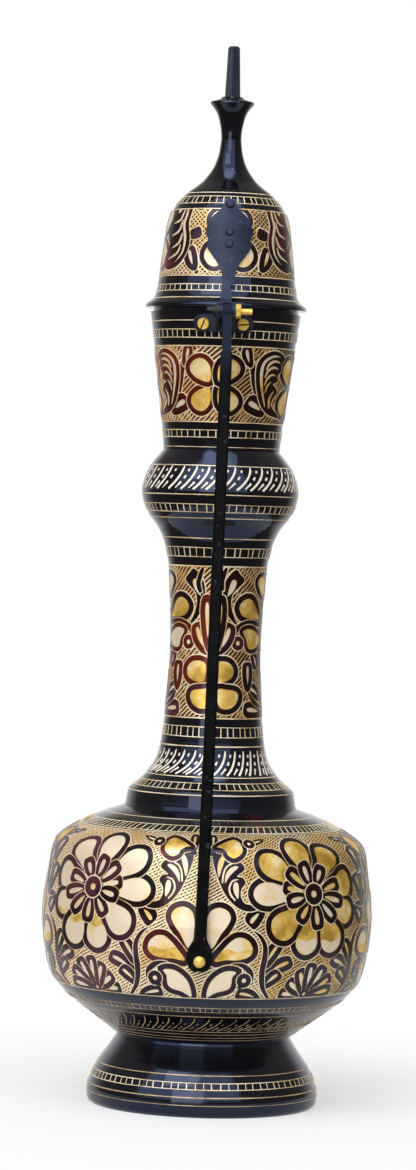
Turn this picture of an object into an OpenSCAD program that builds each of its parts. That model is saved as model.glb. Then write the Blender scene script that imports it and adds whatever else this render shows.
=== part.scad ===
// Surahi: a tall lidded brass pitcher, turned and spun in sections, with a hinged dome lid and a bar handle.
// The frame stands on the foot: the origin is the middle of the foot's resting ring, +Z is up,
// and the handle and the lid's hinge are on the -Y side.

/* [Foot] */
// Height of the flared foot
foot_h = 27.5; // [22:0.5:34]
// Widest diameter of the foot
foot_d = 91.8; // [84:0.2:100]
// Diameter where the foot meets the belly
ankle_d = 69; // [60:0.5:76]
// Wall of the foot
foot_wall = 1.8; // [1.2:0.1:2.4]

/* [Belly] */
// Height of the belly, from the foot to the seat of the shoulder collar
belly_h = 90.5; // [80:0.5:104]
// Widest diameter of the belly
belly_d = 130.8; // [122:0.2:140]
// Height of the brazed seam above the bottom of the belly
seam_h = 48.5; // [44:0.5:52]
// Wall of the belly
belly_wall = 1.6; // [1.2:0.1:2.2]
// Thickness of the belly's floor
floor_t = 1.6; // [1.2:0.1:2.4]

/* [Neck] */
// Height of the shoulder collar
collar_h = 7.5; // [6:0.5:10]
// Diameter of the shoulder collar at its base
collar_d = 68.6; // [64:0.2:72]
// Diameter of the shoulder collar at its top, where the neck stands
neck_base_d = 64.6; // [60:0.2:68]
// Height of the neck
neck_h = 93.8; // [80:0.2:110]
// Diameter of the neck's waist
waist_d = 35.5; // [31:0.5:39]
// Diameter at the top of the neck
neck_top_d = 41.4; // [40:0.2:46]
// Height of the round knop
knop_h = 40.2; // [34:0.2:46]
// Widest diameter of the knop
knop_d = 62.4; // [56:0.2:70]
// Wall of the collar, neck, knop and cup
neck_wall = 1.5; // [1.2:0.1:2]

/* [Cup] */
// Height of the flared mouth cup
cup_h = 54.5; // [46:0.5:64]
// Diameter at the bottom of the cup
cup_base_d = 46.2; // [44:0.2:50]
// Diameter at the rim of the cup
cup_rim_d = 59.7; // [57:0.1:62]
// Bore of the ring that lines the mouth
mouth_d = 52; // [48:0.5:53]
// Depth of the mouth ring inside the cup
ring_depth = 9; // [7:0.5:12]
// Height of the mouth ring's seat, which carries the lid above the cup's rim
ring_seat = 1.4; // [1:0.1:2]
// How far the mouth ring's collar stands up into the lid
ring_stand = 2.8; // [1.6:0.2:3]

/* [Lid] */
// Height of the dome, from its lip to the flat crown
dome_h = 46.8; // [44:0.2:56]
// Diameter of the dome's lip
lip_d = 64; // [63:0.2:68]
// Diameter of the dome just above its lip
dome_d = 55.8; // [54:0.2:57]
// Diameter of the dome at its shoulder
dome_shoulder_d = 48.6; // [44:0.2:51]
// Diameter of the flat crown that carries the finial
crown_d = 31.4; // [26:0.2:34]
// Wall of the dome
dome_wall = 1.4; // [1:0.1:1.8]

/* [Finial] */
// Height of the turned finial
finial_h = 37.4; // [32:0.2:44]
// Diameter of the finial's stem
stem_d = 8; // [7.5:0.5:10]
// Diameter of the finial's collar
finial_collar_d = 17.6; // [14:0.2:20]
// Height of the square spike
spike_h = 20.2; // [14:0.2:26]
// Width of the spike at its foot
spike_w = 5.1; // [4.4:0.1:6]
// Width of the spike at its tip
spike_tip_w = 3.9; // [3:0.1:4.4]
// How far the spike's flats are turned from the front
spike_turn = 25; // [0:1:45]
// Diameter of the threaded stud that holds the finial
stud_d = 5; // [4:0.5:5.5]

/* [Hinge] */
// Diameter of the hinge bolt
bolt_d = 2.5; // [2:0.1:2.8]
// Distance of the hinge bolt outside the dome's lip
bolt_out = 4.5; // [4.2:0.1:6]
// Distance of the hinge bolt below the cup's rim
bolt_drop = 0.5; // [0:0.1:1.5]
// Radius of the knuckle eyes round the hinge bolt
eye_r = 2.9; // [2.6:0.1:3.1]
// Thickness of each hinge cheek and prong
leaf_t = 1.2; // [1:0.1:1.6]
// Thickness of the sheet that the bracket and the lid's strap are cut from
sheet_t = 1.3; // [1:0.1:1.6]
// Width of the bracket across its two tabs
bracket_w = 23.5; // [22:0.5:28]
// How far the bracket's tabs and screws sit to the right of the handle
bracket_shift = -1.3; // [-2:0.1:0]
// Height of the bracket's tabs
bracket_h = 6.8; // [6:0.2:8]
// Distance of the bracket screws below the cup's rim
screw_drop = 5; // [4.6:0.1:5.4]
// Distance between the two bracket screws
screw_spacing = 14.4; // [13.6:0.1:15]
// Diameter of the bracket screws
screw_d = 2.5; // [2:0.1:2.8]
// Diameter of the heads of the screws, the hinge bolt and the handle rivet
head_d = 4.5; // [4:0.1:5]
// Length of the strap's leaf plate on the dome
leaf_len = 33; // [28:0.5:34]
// Width of the strap's leaf plate
leaf_w = 18.6; // [16:0.2:22]
// Width of the strap's stem
strap_w = 4.8; // [4.4:0.1:5.6]
// Width of the stem's waist, where it turns over to its one prong
neck_w = 3; // [2.6:0.1:3.6]
// Diameter of the strap rivets
rivet_d = 1.8; // [1.4:0.1:2]

/* [Handle] */
// Width of the handle bar
bar_w = 4.5; // [4.2:0.1:6]
// Depth of the handle bar
bar_depth = 4.4; // [4:0.1:5]
// Chamfer along the edges of the handle bar
bar_chamfer = 0.7; // [0.3:0.1:1]
// Width of the tongue at the top of the handle
tongue_w = 3.6; // [3.2:0.1:4]
// Length of the tongue below the hinge bolt
tongue_len = 17; // [14:0.5:22]
// Height of the handle rivet above the ground
palm_z = 63.5; // [60:0.5:68]
// Radius of the round palm at the foot of the handle
palm_r = 5; // [4.4:0.1:6]
// Thickness of the palm
palm_t = 2.6; // [2:0.1:3]
// Length of straight bar between the bow and the middle of the palm
palm_run = 22.5; // [20:0.5:26]
// Diameter of the handle rivet
handle_rivet_d = 2.8; // [2.4:0.1:3.2]
// How far the foot of the handle sits to one side, as the hand-set bar leans
handle_lean = 3.5; // [0:0.1:5]

/* [Fits] */
// Gap between pieces that turn or slide in each other
running_gap = 0.05; // [0.03:0.01:0.08]
// Gap between curved faces that lie on each other
skin_gap = 0.1; // [0.05:0.05:0.2]
// Gap between the closed lid and the cup
lid_gap = 0.2; // [0.1:0.05:0.3]
// Length of the spigots that join the turned sections
spigot_len = 3; // [2:0.5:4]
// Thickness of the spigots
spigot_t = 1.3; // [1:0.1:1.6]
// Width of the flat seat outside each spigot
seat_w = 2.4; // [2:0.1:2.6]

/* [Hidden] */
$fn = 96;
EPS = 0.01;
// Length of the cutters that bore right through a wall or sheet
CUT_LEN = 24;
// Width and depth of the slots in the screw heads
SLOT = 0.6;
// How the slots and the nut happen to be turned, in degrees
SCREW_TURNS = [65, 5];
BOLT_TURN = 20;
NUT_TURN = 12;

// Colours of the lacquer, the painted iron and the bare brass
LACQUER = [0.06, 0.06, 0.09];
IRON = [0.1, 0.12, 0.17];
BRASS = [0.86, 0.66, 0.22];

// Levels of the joints, from the ground up
belly_z = foot_h;
seam_z = belly_z + seam_h;
shoulder_z = belly_z + belly_h;
neck_z = shoulder_z + collar_h;
knop_z = neck_z + neck_h;
cup_z = knop_z + knop_h;
rim_z = cup_z + cup_h;
seat_z = rim_z + ring_seat;
lid_z = seat_z + lid_gap;
crown_z = lid_z + dome_h;
spike_z = crown_z + finial_h;

// Radii of the turned sections
foot_r = foot_d / 2;
ankle_r = ankle_d / 2;
belly_r = belly_d / 2;
collar_r = collar_d / 2;
neck_base_r = neck_base_d / 2;
waist_r = waist_d / 2;
neck_top_r = neck_top_d / 2;
knop_r = knop_d / 2;
cup_base_r = cup_base_d / 2;
rim_r = cup_rim_d / 2;
mouth_r = mouth_d / 2;
lip_r = lip_d / 2;
dome_r = dome_d / 2;
dome_shoulder_r = dome_shoulder_d / 2;
crown_r = crown_d / 2;
stem_r = stem_d / 2;
finial_collar_r = finial_collar_d / 2;
stud_r = stud_d / 2;

// Shapes of the outlines. Each point is [share of the way between two radii, share of the height].
FOOT_SHAPE = [
    [0.86, 0], [0.97, 0.05], [1, 0.16], [0.98, 0.26], [0.84, 0.43], [0.62, 0.6], [0.32, 0.775],
    [0.06, 0.94], [0, 1]
];
BOWL_SHAPE = [[0, 0], [0.34, 0.165], [0.655, 0.315], [0.84, 0.45], [0.93, 0.61], [0.98, 0.8], [1, 1]];
SHOULDER_SHAPE = [
    [1, 0], [0.975, 0.23], [0.93, 0.45], [0.89, 0.61], [0.82, 0.7], [0.63, 0.8], [0.33, 0.912], [0, 1]
];
NECK_FLARE = [
    [1, 0], [0.73, 0.053], [0.45, 0.135], [0.275, 0.22], [0.165, 0.37], [0.09, 0.56], [0.03, 0.78], [0, 1]
];
NECK_TOP = [[0, 0], [0.06, 0.2], [0.27, 0.48], [0.46, 0.74], [0.7, 0.88], [1, 1]];
NECK_WAIST = 0.62;
KNOP_LOWER = [[0, 0], [0.12, 0.19], [0.35, 0.4], [0.69, 0.6], [0.92, 0.81], [1, 1]];
KNOP_UPPER = [[1, 0], [0.88, 0.3], [0.63, 0.6], [0.22, 0.87], [0, 1]];
KNOP_WAIST = 0.592;
CUP_SHAPE = [[0, 0], [0.055, 0.09], [0.21, 0.27], [0.58, 0.62], [0.76, 0.79], [1, 1]];
LIP_SHAPE = [[0.93, 0], [1, 0.1], [0.9, 0.26], [0.58, 0.43], [0.24, 0.64], [0, 1]];
DOME_SHAPE = [[0, 0], [0.25, 0.22], [0.55, 0.5], [0.72, 0.7], [1, 1]];
CROWN_SHAPE = [[0, 0], [0.15, 0.34], [0.45, 0.66], [0.7, 0.83], [1, 1]];
FINIAL_FOOT = [[1, 0], [0.74, 0.11], [0.53, 0.22], [0.24, 0.45], [0.07, 0.72], [0, 1]];
FINIAL_TOP = [[0, 0], [0.06, 0.28], [0.32, 0.66], [0.62, 0.84], [1, 1]];

// Shares of the dome's and the finial's height
LIP_SHARE = 0.1346;
CROWN_SHARE = 0.3034;
FINIAL_FOOT_SHARE = 0.551;
FINIAL_CAP_SHARE = 0.07;
lip_h = dome_h * LIP_SHARE;
crown_h = dome_h * CROWN_SHARE;
finial_foot_h = finial_h * FINIAL_FOOT_SHARE;
finial_top_h = finial_h * (1 - FINIAL_FOOT_SHARE - FINIAL_CAP_SHARE);
spike_seat_r = spike_w * 0.83;
// Ledge in the top of the foot, lap of the belly's seam and seat of the shoulder collar
ledge_r = ankle_r * 0.77;
ledge_t = 1.6;
lap_h = 3;
seat_t = 1.8;
// Thickness of a section's foot above its spigot
root_h = 1.4;

// A smooth curve through the points p, with n steps to each span
function spline_at(a, b, c, d, t) =
    0.5 * (2 * b + (c - a) * t + (2 * a - 5 * b + 4 * c - d) * t * t + (3 * b - a - 3 * c + d) * t * t * t);
function curve(p, n = 4) = concat(
    [
        for (i = [0:len(p) - 2], k = [0:n - 1])
            spline_at(p[max(i - 1, 0)], p[i], p[i + 1], p[min(i + 2, len(p) - 1)], k / n)
    ],
    [p[len(p) - 1]]
);
// A shape set between two radii, from level z over height h
function placed(shape, r0, r1, z, h) = [for (s = shape) [r0 + (r1 - r0) * s[0], z + h * s[1]]];
function joined(a, b) = concat(a, [for (i = [1:len(b) - 1]) b[i]]);
function turned(p) = [for (i = [len(p) - 1:-1:0]) p[i]];
// The point list p, which climbs, moved towards the axis by t
function inward(p, i) =
    let (d = p[min(i + 1, len(p) - 1)] - p[max(i - 1, 0)])
    [-d[1], d[0]] / norm(d);
function inset(p, t) = [for (i = [0:len(p) - 1]) p[i] + t * inward(p, i)];
// The part of p between two levels
function between(p, z0, z1) = [for (c = p) if (c[1] > z0 && c[1] < z1) c];
// Radius of the climbing outline p at level z
function radius_at(p, z) = lookup(z, [for (c = p) [c[1], c[0]]]);
// How far the outline p leans outwards at level z, in degrees
function lean_at(p, z) = atan2(radius_at(p, z + 1) - radius_at(p, z - 1), 2);

// Outer outlines, from the ground up
foot_line = curve(placed(FOOT_SHAPE, ankle_r, foot_r, 0, foot_h));
bowl_line = curve(placed(BOWL_SHAPE, ankle_r, belly_r, belly_z, seam_h), 5);
shoulder_line = curve(placed(SHOULDER_SHAPE, collar_r, belly_r, seam_z, belly_h - seam_h), 5);
neck_waist_h = neck_h * NECK_WAIST;
neck_line = joined(
    curve(placed(NECK_FLARE, waist_r, neck_base_r, neck_z, neck_waist_h)),
    curve(placed(NECK_TOP, waist_r, neck_top_r, neck_z + neck_waist_h, neck_h - neck_waist_h))
);
knop_waist_h = knop_h * KNOP_WAIST;
knop_line = joined(
    curve(placed(KNOP_LOWER, neck_top_r, knop_r, knop_z, knop_waist_h)),
    curve(placed(KNOP_UPPER, cup_base_r, knop_r, knop_z + knop_waist_h, knop_h - knop_waist_h))
);
cup_line = curve(placed(CUP_SHAPE, cup_base_r, rim_r, cup_z, cup_h), 3);
dome_line = joined(
    curve(placed(LIP_SHAPE, dome_r, lip_r, lid_z, lip_h)),
    joined(
        curve(placed(DOME_SHAPE, dome_r, dome_shoulder_r, lid_z + lip_h, dome_h - lip_h - crown_h), 3),
        curve(placed(CROWN_SHAPE, dome_shoulder_r, crown_r, crown_z - crown_h, crown_h))
    )
);
finial_line = joined(
    curve(placed(FINIAL_FOOT, stem_r, crown_r, crown_z, finial_foot_h)),
    curve(placed(FINIAL_TOP, stem_r, finial_collar_r, crown_z + finial_foot_h, finial_top_h))
);

// Finial's stud, washer and nut, under the flat ceiling of the dome, and the spike's peg
ceiling_z = crown_z - dome_wall;
washer_t = 1.2;
stud_nut_t = 3.2;
stud_down = 1.6;
stud_up = 11;
peg_len = 4.6;
peg_r = spike_tip_w * 0.436;

// Spigots: each section stands on the one below, with a spigot inside it
COLLAR_STEP = 2;
RING_INSET = 2.2;
collar_spigot_r = collar_r - seat_w - COLLAR_STEP;
neck_spigot_r = neck_base_r - seat_w;
knop_spigot_r = neck_top_r - seat_w;
cup_spigot_r = cup_base_r - seat_w;
ring_r = rim_r - RING_INSET;
ring_seat_r = rim_r - 1;
ring_stand_r = rim_r - 2.6;

// Heads and burrs of the rivets, with the gap that curved walls leave under a flat burr
rivet_head_t = 0.7;
burr_t = 0.8;
burr_gap = 0.35;

// Hinge and handle, in the plane of the handle: a is the distance in front of the axis
pin_a = lip_r + bolt_out;
pin_z = rim_z - bolt_drop;
bolt_r = bolt_d / 2;
// From left to right the bolt passes a cheek, the strap's prong, the tongue and the other cheek
prong_x = tongue_w / 2 + skin_gap;
left_cheek_x = prong_x + leaf_t + skin_gap;
left_stack_x = left_cheek_x + leaf_t + skin_gap;
right_stack_x = prong_x + leaf_t + skin_gap;
head_r = head_d / 2;
head_t = 1.3;
nut_t = 2;
bolt_tail = 4.4;
screw_z = rim_z - screw_drop;
screw_r = screw_d / 2;
screw_a = radius_at(cup_line, screw_z);
screw_turns = [for (side = [-1, 1]) asin((bracket_shift + side * screw_spacing / 2) / screw_a)];
// The palm lies on the belly below its widest ring, and the bar stands clear of that ring
BAR_CLEAR = 0.4;
palm_in = radius_at(bowl_line, palm_z) + skin_gap;
palm_lean = lean_at(bowl_line, palm_z);
bar_in = belly_r + BAR_CLEAR;
bar_a = bar_in + bar_depth / 2;
knee_z = palm_z + (bar_in - palm_in) / tan(palm_lean);
bow_z = palm_z + palm_run;
palm_burr_t = 1;
palm_burr_z = belly_wall + burr_gap + palm_burr_t;
// The bow is an arc, upright at the foot, which runs on into the straight tongue
bow_angle = 2 * atan((bar_a - pin_a) / (pin_z - bow_z + tongue_len));
bow_r = (pin_z - bow_z - (bar_a - pin_a) / tan(bow_angle)) / tan(bow_angle / 2);
joint_a = pin_a + tongue_len * sin(bow_angle);
joint_z = pin_z - tongue_len * cos(bow_angle);
lean_angle = asin(handle_lean / (joint_z - palm_z));
handle_rivet_r = handle_rivet_d / 2;
tenon_r = 1.3;
tenon_len = 5;

// Strap rivets, by their heights on the dome
LEAF_RISE = 3.4;
leaf_z = lid_z + lip_h + LEAF_RISE;
rivet_r = rivet_d / 2;
RIVET_LEVELS = [0.45, 0.592, 0.905];
rivet_zs = [for (level = RIVET_LEVELS) leaf_z + leaf_len * level];
// Outline of half the leaf plate: [share of half its width, share of its length]
LEAF_LOWER = [
    [0.258, 0], [0.28, 0.1], [0.38, 0.18], [0.54, 0.25], [0.72, 0.32], [0.87, 0.38], [0.94, 0.43], [0.87, 0.49]
];
LEAF_UPPER = [
    [0.87, 0.49], [1, 0.59], [0.94, 0.66], [0.84, 0.735], [0.68, 0.795], [0.48, 0.845], [0.32, 0.9],
    [0.22, 0.96], [0.12, 1]
];
// Outline of half the palm: shares of its radius, out from the middle and up from the rivet
PALM_SHAPE = [[0.5, 1.7], [0.63, 1.4], [0.9, 0.9], [1, 0.36], [0.96, -0.12], [0.77, -0.58], [0.44, -0.84]];

// A solid of revolution from a list of [radius, level] points
module turned_solid(points) rotate_extrude() polygon(points);

// A hollow turned section: an outer line, a wall, a seat at its top and a spigot at its foot
module section(line, wall, spigot_r, top_seat_r) {
    z0 = line[0][1];
    z1 = line[len(line) - 1][1];
    seat_h = spigot_len + 1;
    inner = between(inset(line, wall), z0 + root_h + EPS, z1 - seat_h - EPS);
    turned_solid(concat(
        line,
        [[top_seat_r, z1], [top_seat_r, z1 - seat_h]],
        turned(inner),
        [
            [spigot_r - spigot_t, z0 + root_h], [spigot_r - spigot_t, z0 - spigot_len],
            [spigot_r, z0 - spigot_len], [spigot_r, z0]
        ]
    ));
}

// Turns what is drawn in the plane of the handle, as [a, level], into a sheet of width w across it
module across(w, x = 0)
    translate([x, 0, 0]) rotate([90, 0, -90]) linear_extrude(w, center = true) children();

// Turns an outline seen from the front, as [x, level], into a block that reaches from the axis to the front
module from_front(reach = 90) translate([0, EPS, 0]) rotate([90, 0, 0]) linear_extrude(reach) children();

// Frame of a fastener on the outline line, at level z, with +Z along its outward normal
module on_line(line, z, azimuth = 0)
    rotate([0, 0, azimuth])
    translate([0, -radius_at(line, z), z])
    rotate([90 + lean_at(line, z), 0, 0])
    children();

module at_screws() for (turn = screw_turns) on_line(cup_line, screw_z, turn) children();
module at_rivets() for (z = rivet_zs) on_line(dome_line, z) children();
// Frame of the hinge bolt, with +Z along it to the right
module on_bolt(x = 0) translate([x, -pin_a, pin_z]) rotate([0, 90, 0]) children();
// Frame of the handle bar, which leans about its joint with the tongue
module leaning()
    translate([0, -joint_a, joint_z]) rotate([0, lean_angle, 0]) translate([0, joint_a, -joint_z]) children();
// Frame of the handle rivet, with +Z out of the belly
module on_palm() leaning() on_line(bowl_line, palm_z) children();

// A slotted cheese head whose seat is at level 0
module slotted_head(turn = 0) difference() {
    cylinder(h = head_t, r = head_r);
    rotate([0, 0, turn]) translate([-head_d, -SLOT / 2, head_t - SLOT]) cube([2 * head_d, SLOT, 2 * SLOT]);
}

// A hexagon nut of bore radius r with its seat at level 0
module hex_nut(r, flats, h) difference() {
    cylinder(h = h, d = flats / cos(30), $fn = 6);
    translate([0, 0, -1]) cylinder(h = h + 2, r = r);
}

// Vessel

module foot() color(LACQUER) turned_solid(concat(
    foot_line,
    [[ledge_r, foot_h], [ledge_r, foot_h - ledge_t]],
    turned(between(inset(foot_line, foot_wall), 0, foot_h - ledge_t - 1)),
    [[foot_line[0][0] - foot_wall - 0.6, 0]]
));

module lower_bowl() color(LACQUER) difference() {
    lap_r = belly_r - belly_wall / 2 - running_gap;
    turned_solid(concat(
        [[0, belly_z]],
        bowl_line,
        [[lap_r, seam_z], [lap_r, seam_z + lap_h], [belly_r - belly_wall, seam_z + lap_h]],
        turned(between(inset(bowl_line, belly_wall), belly_z + floor_t, seam_z + EPS)),
        [[0, belly_z + floor_t]]
    ));
    on_palm() cylinder(h = CUT_LEN, r = handle_rivet_r + running_gap, center = true);
}

module upper_bowl() color(LACQUER) turned_solid(concat(
    shoulder_line,
    [[collar_spigot_r + skin_gap, shoulder_z], [collar_spigot_r + skin_gap, shoulder_z - seat_t]],
    turned(between(inset(shoulder_line, belly_wall), seam_z + lap_h + skin_gap, shoulder_z - seat_t)),
    [
        [belly_r - belly_wall, seam_z + lap_h + skin_gap],
        [belly_r - belly_wall / 2, seam_z + lap_h + skin_gap], [belly_r - belly_wall / 2, seam_z]
    ]
));

module shoulder_collar() color(LACQUER) {
    bore_r = neck_spigot_r + skin_gap;
    turned_solid([
        [collar_r, shoulder_z], [collar_r - 0.5, shoulder_z + 1.4], [neck_base_r + 0.7, neck_z - 1.2],
        [neck_base_r, neck_z], [bore_r, neck_z], [bore_r, neck_z - spigot_len - skin_gap],
        [collar_spigot_r - spigot_t, neck_z - spigot_len - 1.2],
        [collar_spigot_r - spigot_t, shoulder_z - spigot_len],
        [collar_spigot_r, shoulder_z - spigot_len], [collar_spigot_r, shoulder_z]
    ]);
}

module neck() color(LACQUER) section(neck_line, neck_wall, neck_spigot_r, knop_spigot_r + skin_gap);

module knop() color(LACQUER) section(knop_line, neck_wall, knop_spigot_r, cup_spigot_r + skin_gap);

module mouth_cup() color(LACQUER) difference() {
    step_z = rim_z - ring_depth - skin_gap;
    inner = between(inset(cup_line, neck_wall), cup_z + root_h, step_z);
    turned_solid(concat(
        cup_line,
        [[ring_r + running_gap, rim_z], [ring_r + running_gap, step_z]],
        turned(inner),
        [
            [cup_spigot_r - spigot_t, cup_z + root_h], [cup_spigot_r - spigot_t, cup_z - spigot_len],
            [cup_spigot_r, cup_z - spigot_len], [cup_spigot_r, cup_z]
        ]
    ));
    at_screws() cylinder(h = CUT_LEN, r = screw_r + running_gap, center = true);
}

module mouth_ring() color(LACQUER) difference() {
    top_z = seat_z + ring_stand;
    turned_solid([
        [mouth_r, rim_z - ring_depth], [ring_r, rim_z - ring_depth], [ring_r, rim_z],
        [ring_seat_r, rim_z], [ring_seat_r, seat_z], [ring_stand_r, seat_z],
        [ring_stand_r, top_z - 0.6], [ring_stand_r - 0.6, top_z], [mouth_r, top_z]
    ]);
    at_screws() cylinder(h = CUT_LEN, r = screw_r + running_gap, center = true);
}

// Hinge bracket and its screws

module bracket_sheet() {
    tab_r = bracket_h / 2;
    line = between(cup_line, cup_z + cup_h / 2, rim_z + 1);
    intersection() {
        turned_solid(concat(inset(line, -skin_gap - sheet_t), turned(inset(line, -skin_gap))));
        from_front() translate([bracket_shift, screw_z]) union() {
            for (side = [-1, 1])
                translate([side * (bracket_w / 2 - tab_r), 0]) circle(tab_r, $fn = 48);
            translate([-bracket_w / 2 + tab_r, -tab_r]) square([bracket_w - 2 * tab_r, bracket_h]);
        }
    }
}

module bracket_cheek() {
    plate_a = radius_at(cup_line, screw_z) + skin_gap + sheet_t / 2;
    union() {
        translate([pin_a, pin_z]) circle(eye_r + 0.2, $fn = 48);
        polygon([
            [plate_a - 0.2, screw_z - bracket_h / 2 + 0.4], [plate_a, screw_z + bracket_h / 2 - 0.6],
            [pin_a - eye_r * 0.75, pin_z + eye_r * 0.7], [pin_a + eye_r * 0.6, pin_z - eye_r * 0.85]
        ]);
    }
}

module hinge_bracket() color(IRON) difference() {
    union() {
        bracket_sheet();
        across(leaf_t, -left_cheek_x - leaf_t / 2) bracket_cheek();
        across(leaf_t, prong_x + leaf_t / 2) bracket_cheek();
    }
    at_screws() cylinder(h = CUT_LEN, r = screw_r + running_gap, center = true);
    on_bolt() cylinder(h = CUT_LEN, r = bolt_r + running_gap, center = true);
}

module bracket_screws() color(BRASS) {
    seat = skin_gap + sheet_t + skin_gap;
    reach = seat + rim_r - mouth_r + 0.6;
    for (i = [0, 1]) on_line(cup_line, screw_z, screw_turns[i]) translate([0, 0, seat]) {
        slotted_head(SCREW_TURNS[i]);
        translate([0, 0, -reach]) cylinder(h = reach + EPS, r = screw_r);
    }
}

module hinge_bolt() color(BRASS) {
    tail_x = right_stack_x + nut_t + bolt_tail;
    on_bolt(-left_stack_x) rotate([0, 180, 0]) slotted_head(BOLT_TURN);
    on_bolt(-left_stack_x - EPS) cylinder(h = left_stack_x + tail_x + EPS, r = bolt_r);
}

module hinge_nut() color(BRASS) on_bolt(right_stack_x) rotate([0, 0, NUT_TURN])
    hex_nut(bolt_r + running_gap, 2 * bolt_d, nut_t);

// Handle

module handle_tongue() color(IRON) {
    difference() {
        across(tongue_w) union() {
            translate([pin_a, pin_z]) circle(eye_r, $fn = 48);
            translate([pin_a, pin_z])
                rotate(bow_angle)
                translate([-bar_depth / 2 + skin_gap, skin_gap - tongue_len])
                square([bar_depth - 2 * skin_gap, tongue_len - skin_gap]);
        }
        on_bolt() cylinder(h = CUT_LEN, r = bolt_r + running_gap, center = true);
    }
    translate([0, -joint_a, joint_z]) rotate([-bow_angle, 0, 0]) translate([0, 0, -tenon_len])
        cylinder(h = tenon_len + 1, r = tenon_r);
}

// Section of the bar, with its depth along X and its width along Y
module bar_section() {
    d = bar_depth / 2;
    w = bar_w / 2;
    c = bar_chamfer;
    polygon([
        [-d, c - w], [c - d, -w], [d - c, -w], [d, c - w], [d, w - c], [d - c, w], [c - d, w], [-d, w - c]
    ]);
}

// A point of the palm's side view, dz above the rivet and t outside the face that lies on the belly
function palm_face(dz, t = 0) = [palm_in + tan(palm_lean) * dz + t / cos(palm_lean), palm_z + dz];

module handle_palm() intersection() {
    flare_z = palm_z + 2 * palm_r;
    half = concat(
        [[bar_w / 2, bow_z], [bar_w / 2, flare_z]],
        curve([for (s = PALM_SHAPE) [s[0] * palm_r, palm_z + s[1] * palm_r]], 3)
    );
    from_front() polygon(concat(half, [for (p = turned(half)) [-p[0], p[1]]]));
    across(4 * palm_r) polygon([
        palm_face(-2 * palm_r), palm_face(-2 * palm_r, palm_t), palm_face(0.8 * palm_r, palm_t),
        [bar_in + bar_depth, flare_z], [bar_in + bar_depth, bow_z], [bar_in, bow_z], [bar_in, knee_z]
    ]);
}

module handle_bar() color(IRON) leaning() difference() {
    union() {
        translate([0, bow_r - bar_a, bow_z]) rotate([90, 0, -90])
            rotate_extrude(angle = bow_angle, $fn = 360) translate([bow_r, 0]) bar_section();
        handle_palm();
    }
    translate([0, -joint_a, joint_z]) rotate([-bow_angle, 0, 0]) translate([0, 0, -tenon_len - 0.4])
        cylinder(h = tenon_len + 2, r = tenon_r + 0.1);
    on_line(bowl_line, palm_z) cylinder(h = CUT_LEN, r = handle_rivet_r + running_gap, center = true);
}

module handle_rivet() color(BRASS) {
    dome_rise = 1.1;
    dome_r_sphere = (head_r * head_r + dome_rise * dome_rise) / 2 / dome_rise;
    tail_t = 0.9;
    seat = palm_t + 2 * skin_gap;
    on_palm() {
        translate([0, 0, seat]) intersection() {
            cylinder(h = dome_rise, r = head_r);
            translate([0, 0, dome_rise - dome_r_sphere]) sphere(dome_r_sphere);
        }
        translate([0, 0, -palm_burr_z - tail_t])
            cylinder(h = palm_burr_z + tail_t + seat + 0.2, r = handle_rivet_r);
        translate([0, 0, -palm_burr_z - skin_gap - tail_t]) cylinder(h = tail_t, r = handle_rivet_r + 0.7);
    }
}

module handle_rivet_burr() color(BRASS) on_palm() translate([0, 0, -palm_burr_z]) difference() {
    cylinder(h = palm_burr_t, r = handle_rivet_r + 1.8);
    translate([0, 0, -1]) cylinder(h = palm_burr_t + 2, r = handle_rivet_r + running_gap);
}

// Lid

module lid_dome() color(LACQUER) difference() {
    recess_r = ring_stand_r + 0.5;
    recess_z = seat_z + ring_stand + 0.8;
    inner = inset(dome_line, dome_wall);
    turned_solid(concat(
        [[recess_r, lid_z]],
        dome_line,
        [[0, crown_z], [0, ceiling_z], [radius_at(inner, ceiling_z), ceiling_z]],
        turned(between(inner, recess_z + 0.3, ceiling_z - EPS)),
        [[recess_r, recess_z]]
    ));
    cylinder(h = 2 * crown_z, r = stud_r + running_gap);
    at_rivets() cylinder(h = CUT_LEN, r = rivet_r + running_gap, center = true);
}

module finial() color(LACQUER) difference() {
    collar_z = crown_z + finial_foot_h + finial_top_h;
    turned_solid(concat(
        [[0, crown_z]],
        finial_line,
        [[finial_collar_r - 0.2, collar_z + 0.7], [spike_seat_r + 0.4, spike_z - 0.5]],
        [[spike_seat_r, spike_z], [0, spike_z]]
    ));
    translate([0, 0, crown_z - 1]) cylinder(h = stud_up + 2, r = stud_r + running_gap);
    translate([0, 0, spike_z - peg_len - 0.4]) cylinder(h = peg_len + 1, r = peg_r + running_gap);
}

module finial_spike() color(LACQUER) {
    tip_h = 0.8;
    shaft_h = spike_h - tip_h;
    c = 0.16;
    translate([0, 0, spike_z]) rotate([0, 0, spike_turn]) {
        linear_extrude(shaft_h, scale = spike_tip_w / spike_w) chamfered_square(spike_w, c);
        translate([0, 0, shaft_h]) linear_extrude(tip_h, scale = 0.78) chamfered_square(spike_tip_w, c);
    }
    translate([0, 0, spike_z - peg_len]) cylinder(h = peg_len + 0.2, r = peg_r);
}

// A square of width w whose corners are cut by the share c of its width
module chamfered_square(w, c) {
    h = w / 2;
    k = w * c;
    polygon([
        [k - h, -h], [h - k, -h], [h, k - h], [h, h - k], [h - k, h], [k - h, h], [-h, h - k], [-h, k - h]
    ]);
}

module finial_stud() color(BRASS) translate([0, 0, ceiling_z - washer_t - stud_nut_t - stud_down])
    cylinder(h = dome_wall + washer_t + stud_nut_t + stud_down + stud_up, r = stud_r);

module finial_washer() color(BRASS) translate([0, 0, ceiling_z - washer_t]) difference() {
    cylinder(h = washer_t, d = 2.2 * stud_d);
    translate([0, 0, -1]) cylinder(h = washer_t + 2, r = stud_r + running_gap);
}

module finial_nut() color(BRASS) translate([0, 0, ceiling_z - washer_t - stud_nut_t])
    hex_nut(stud_r + running_gap, 1.6 * stud_d, stud_nut_t);

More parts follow.
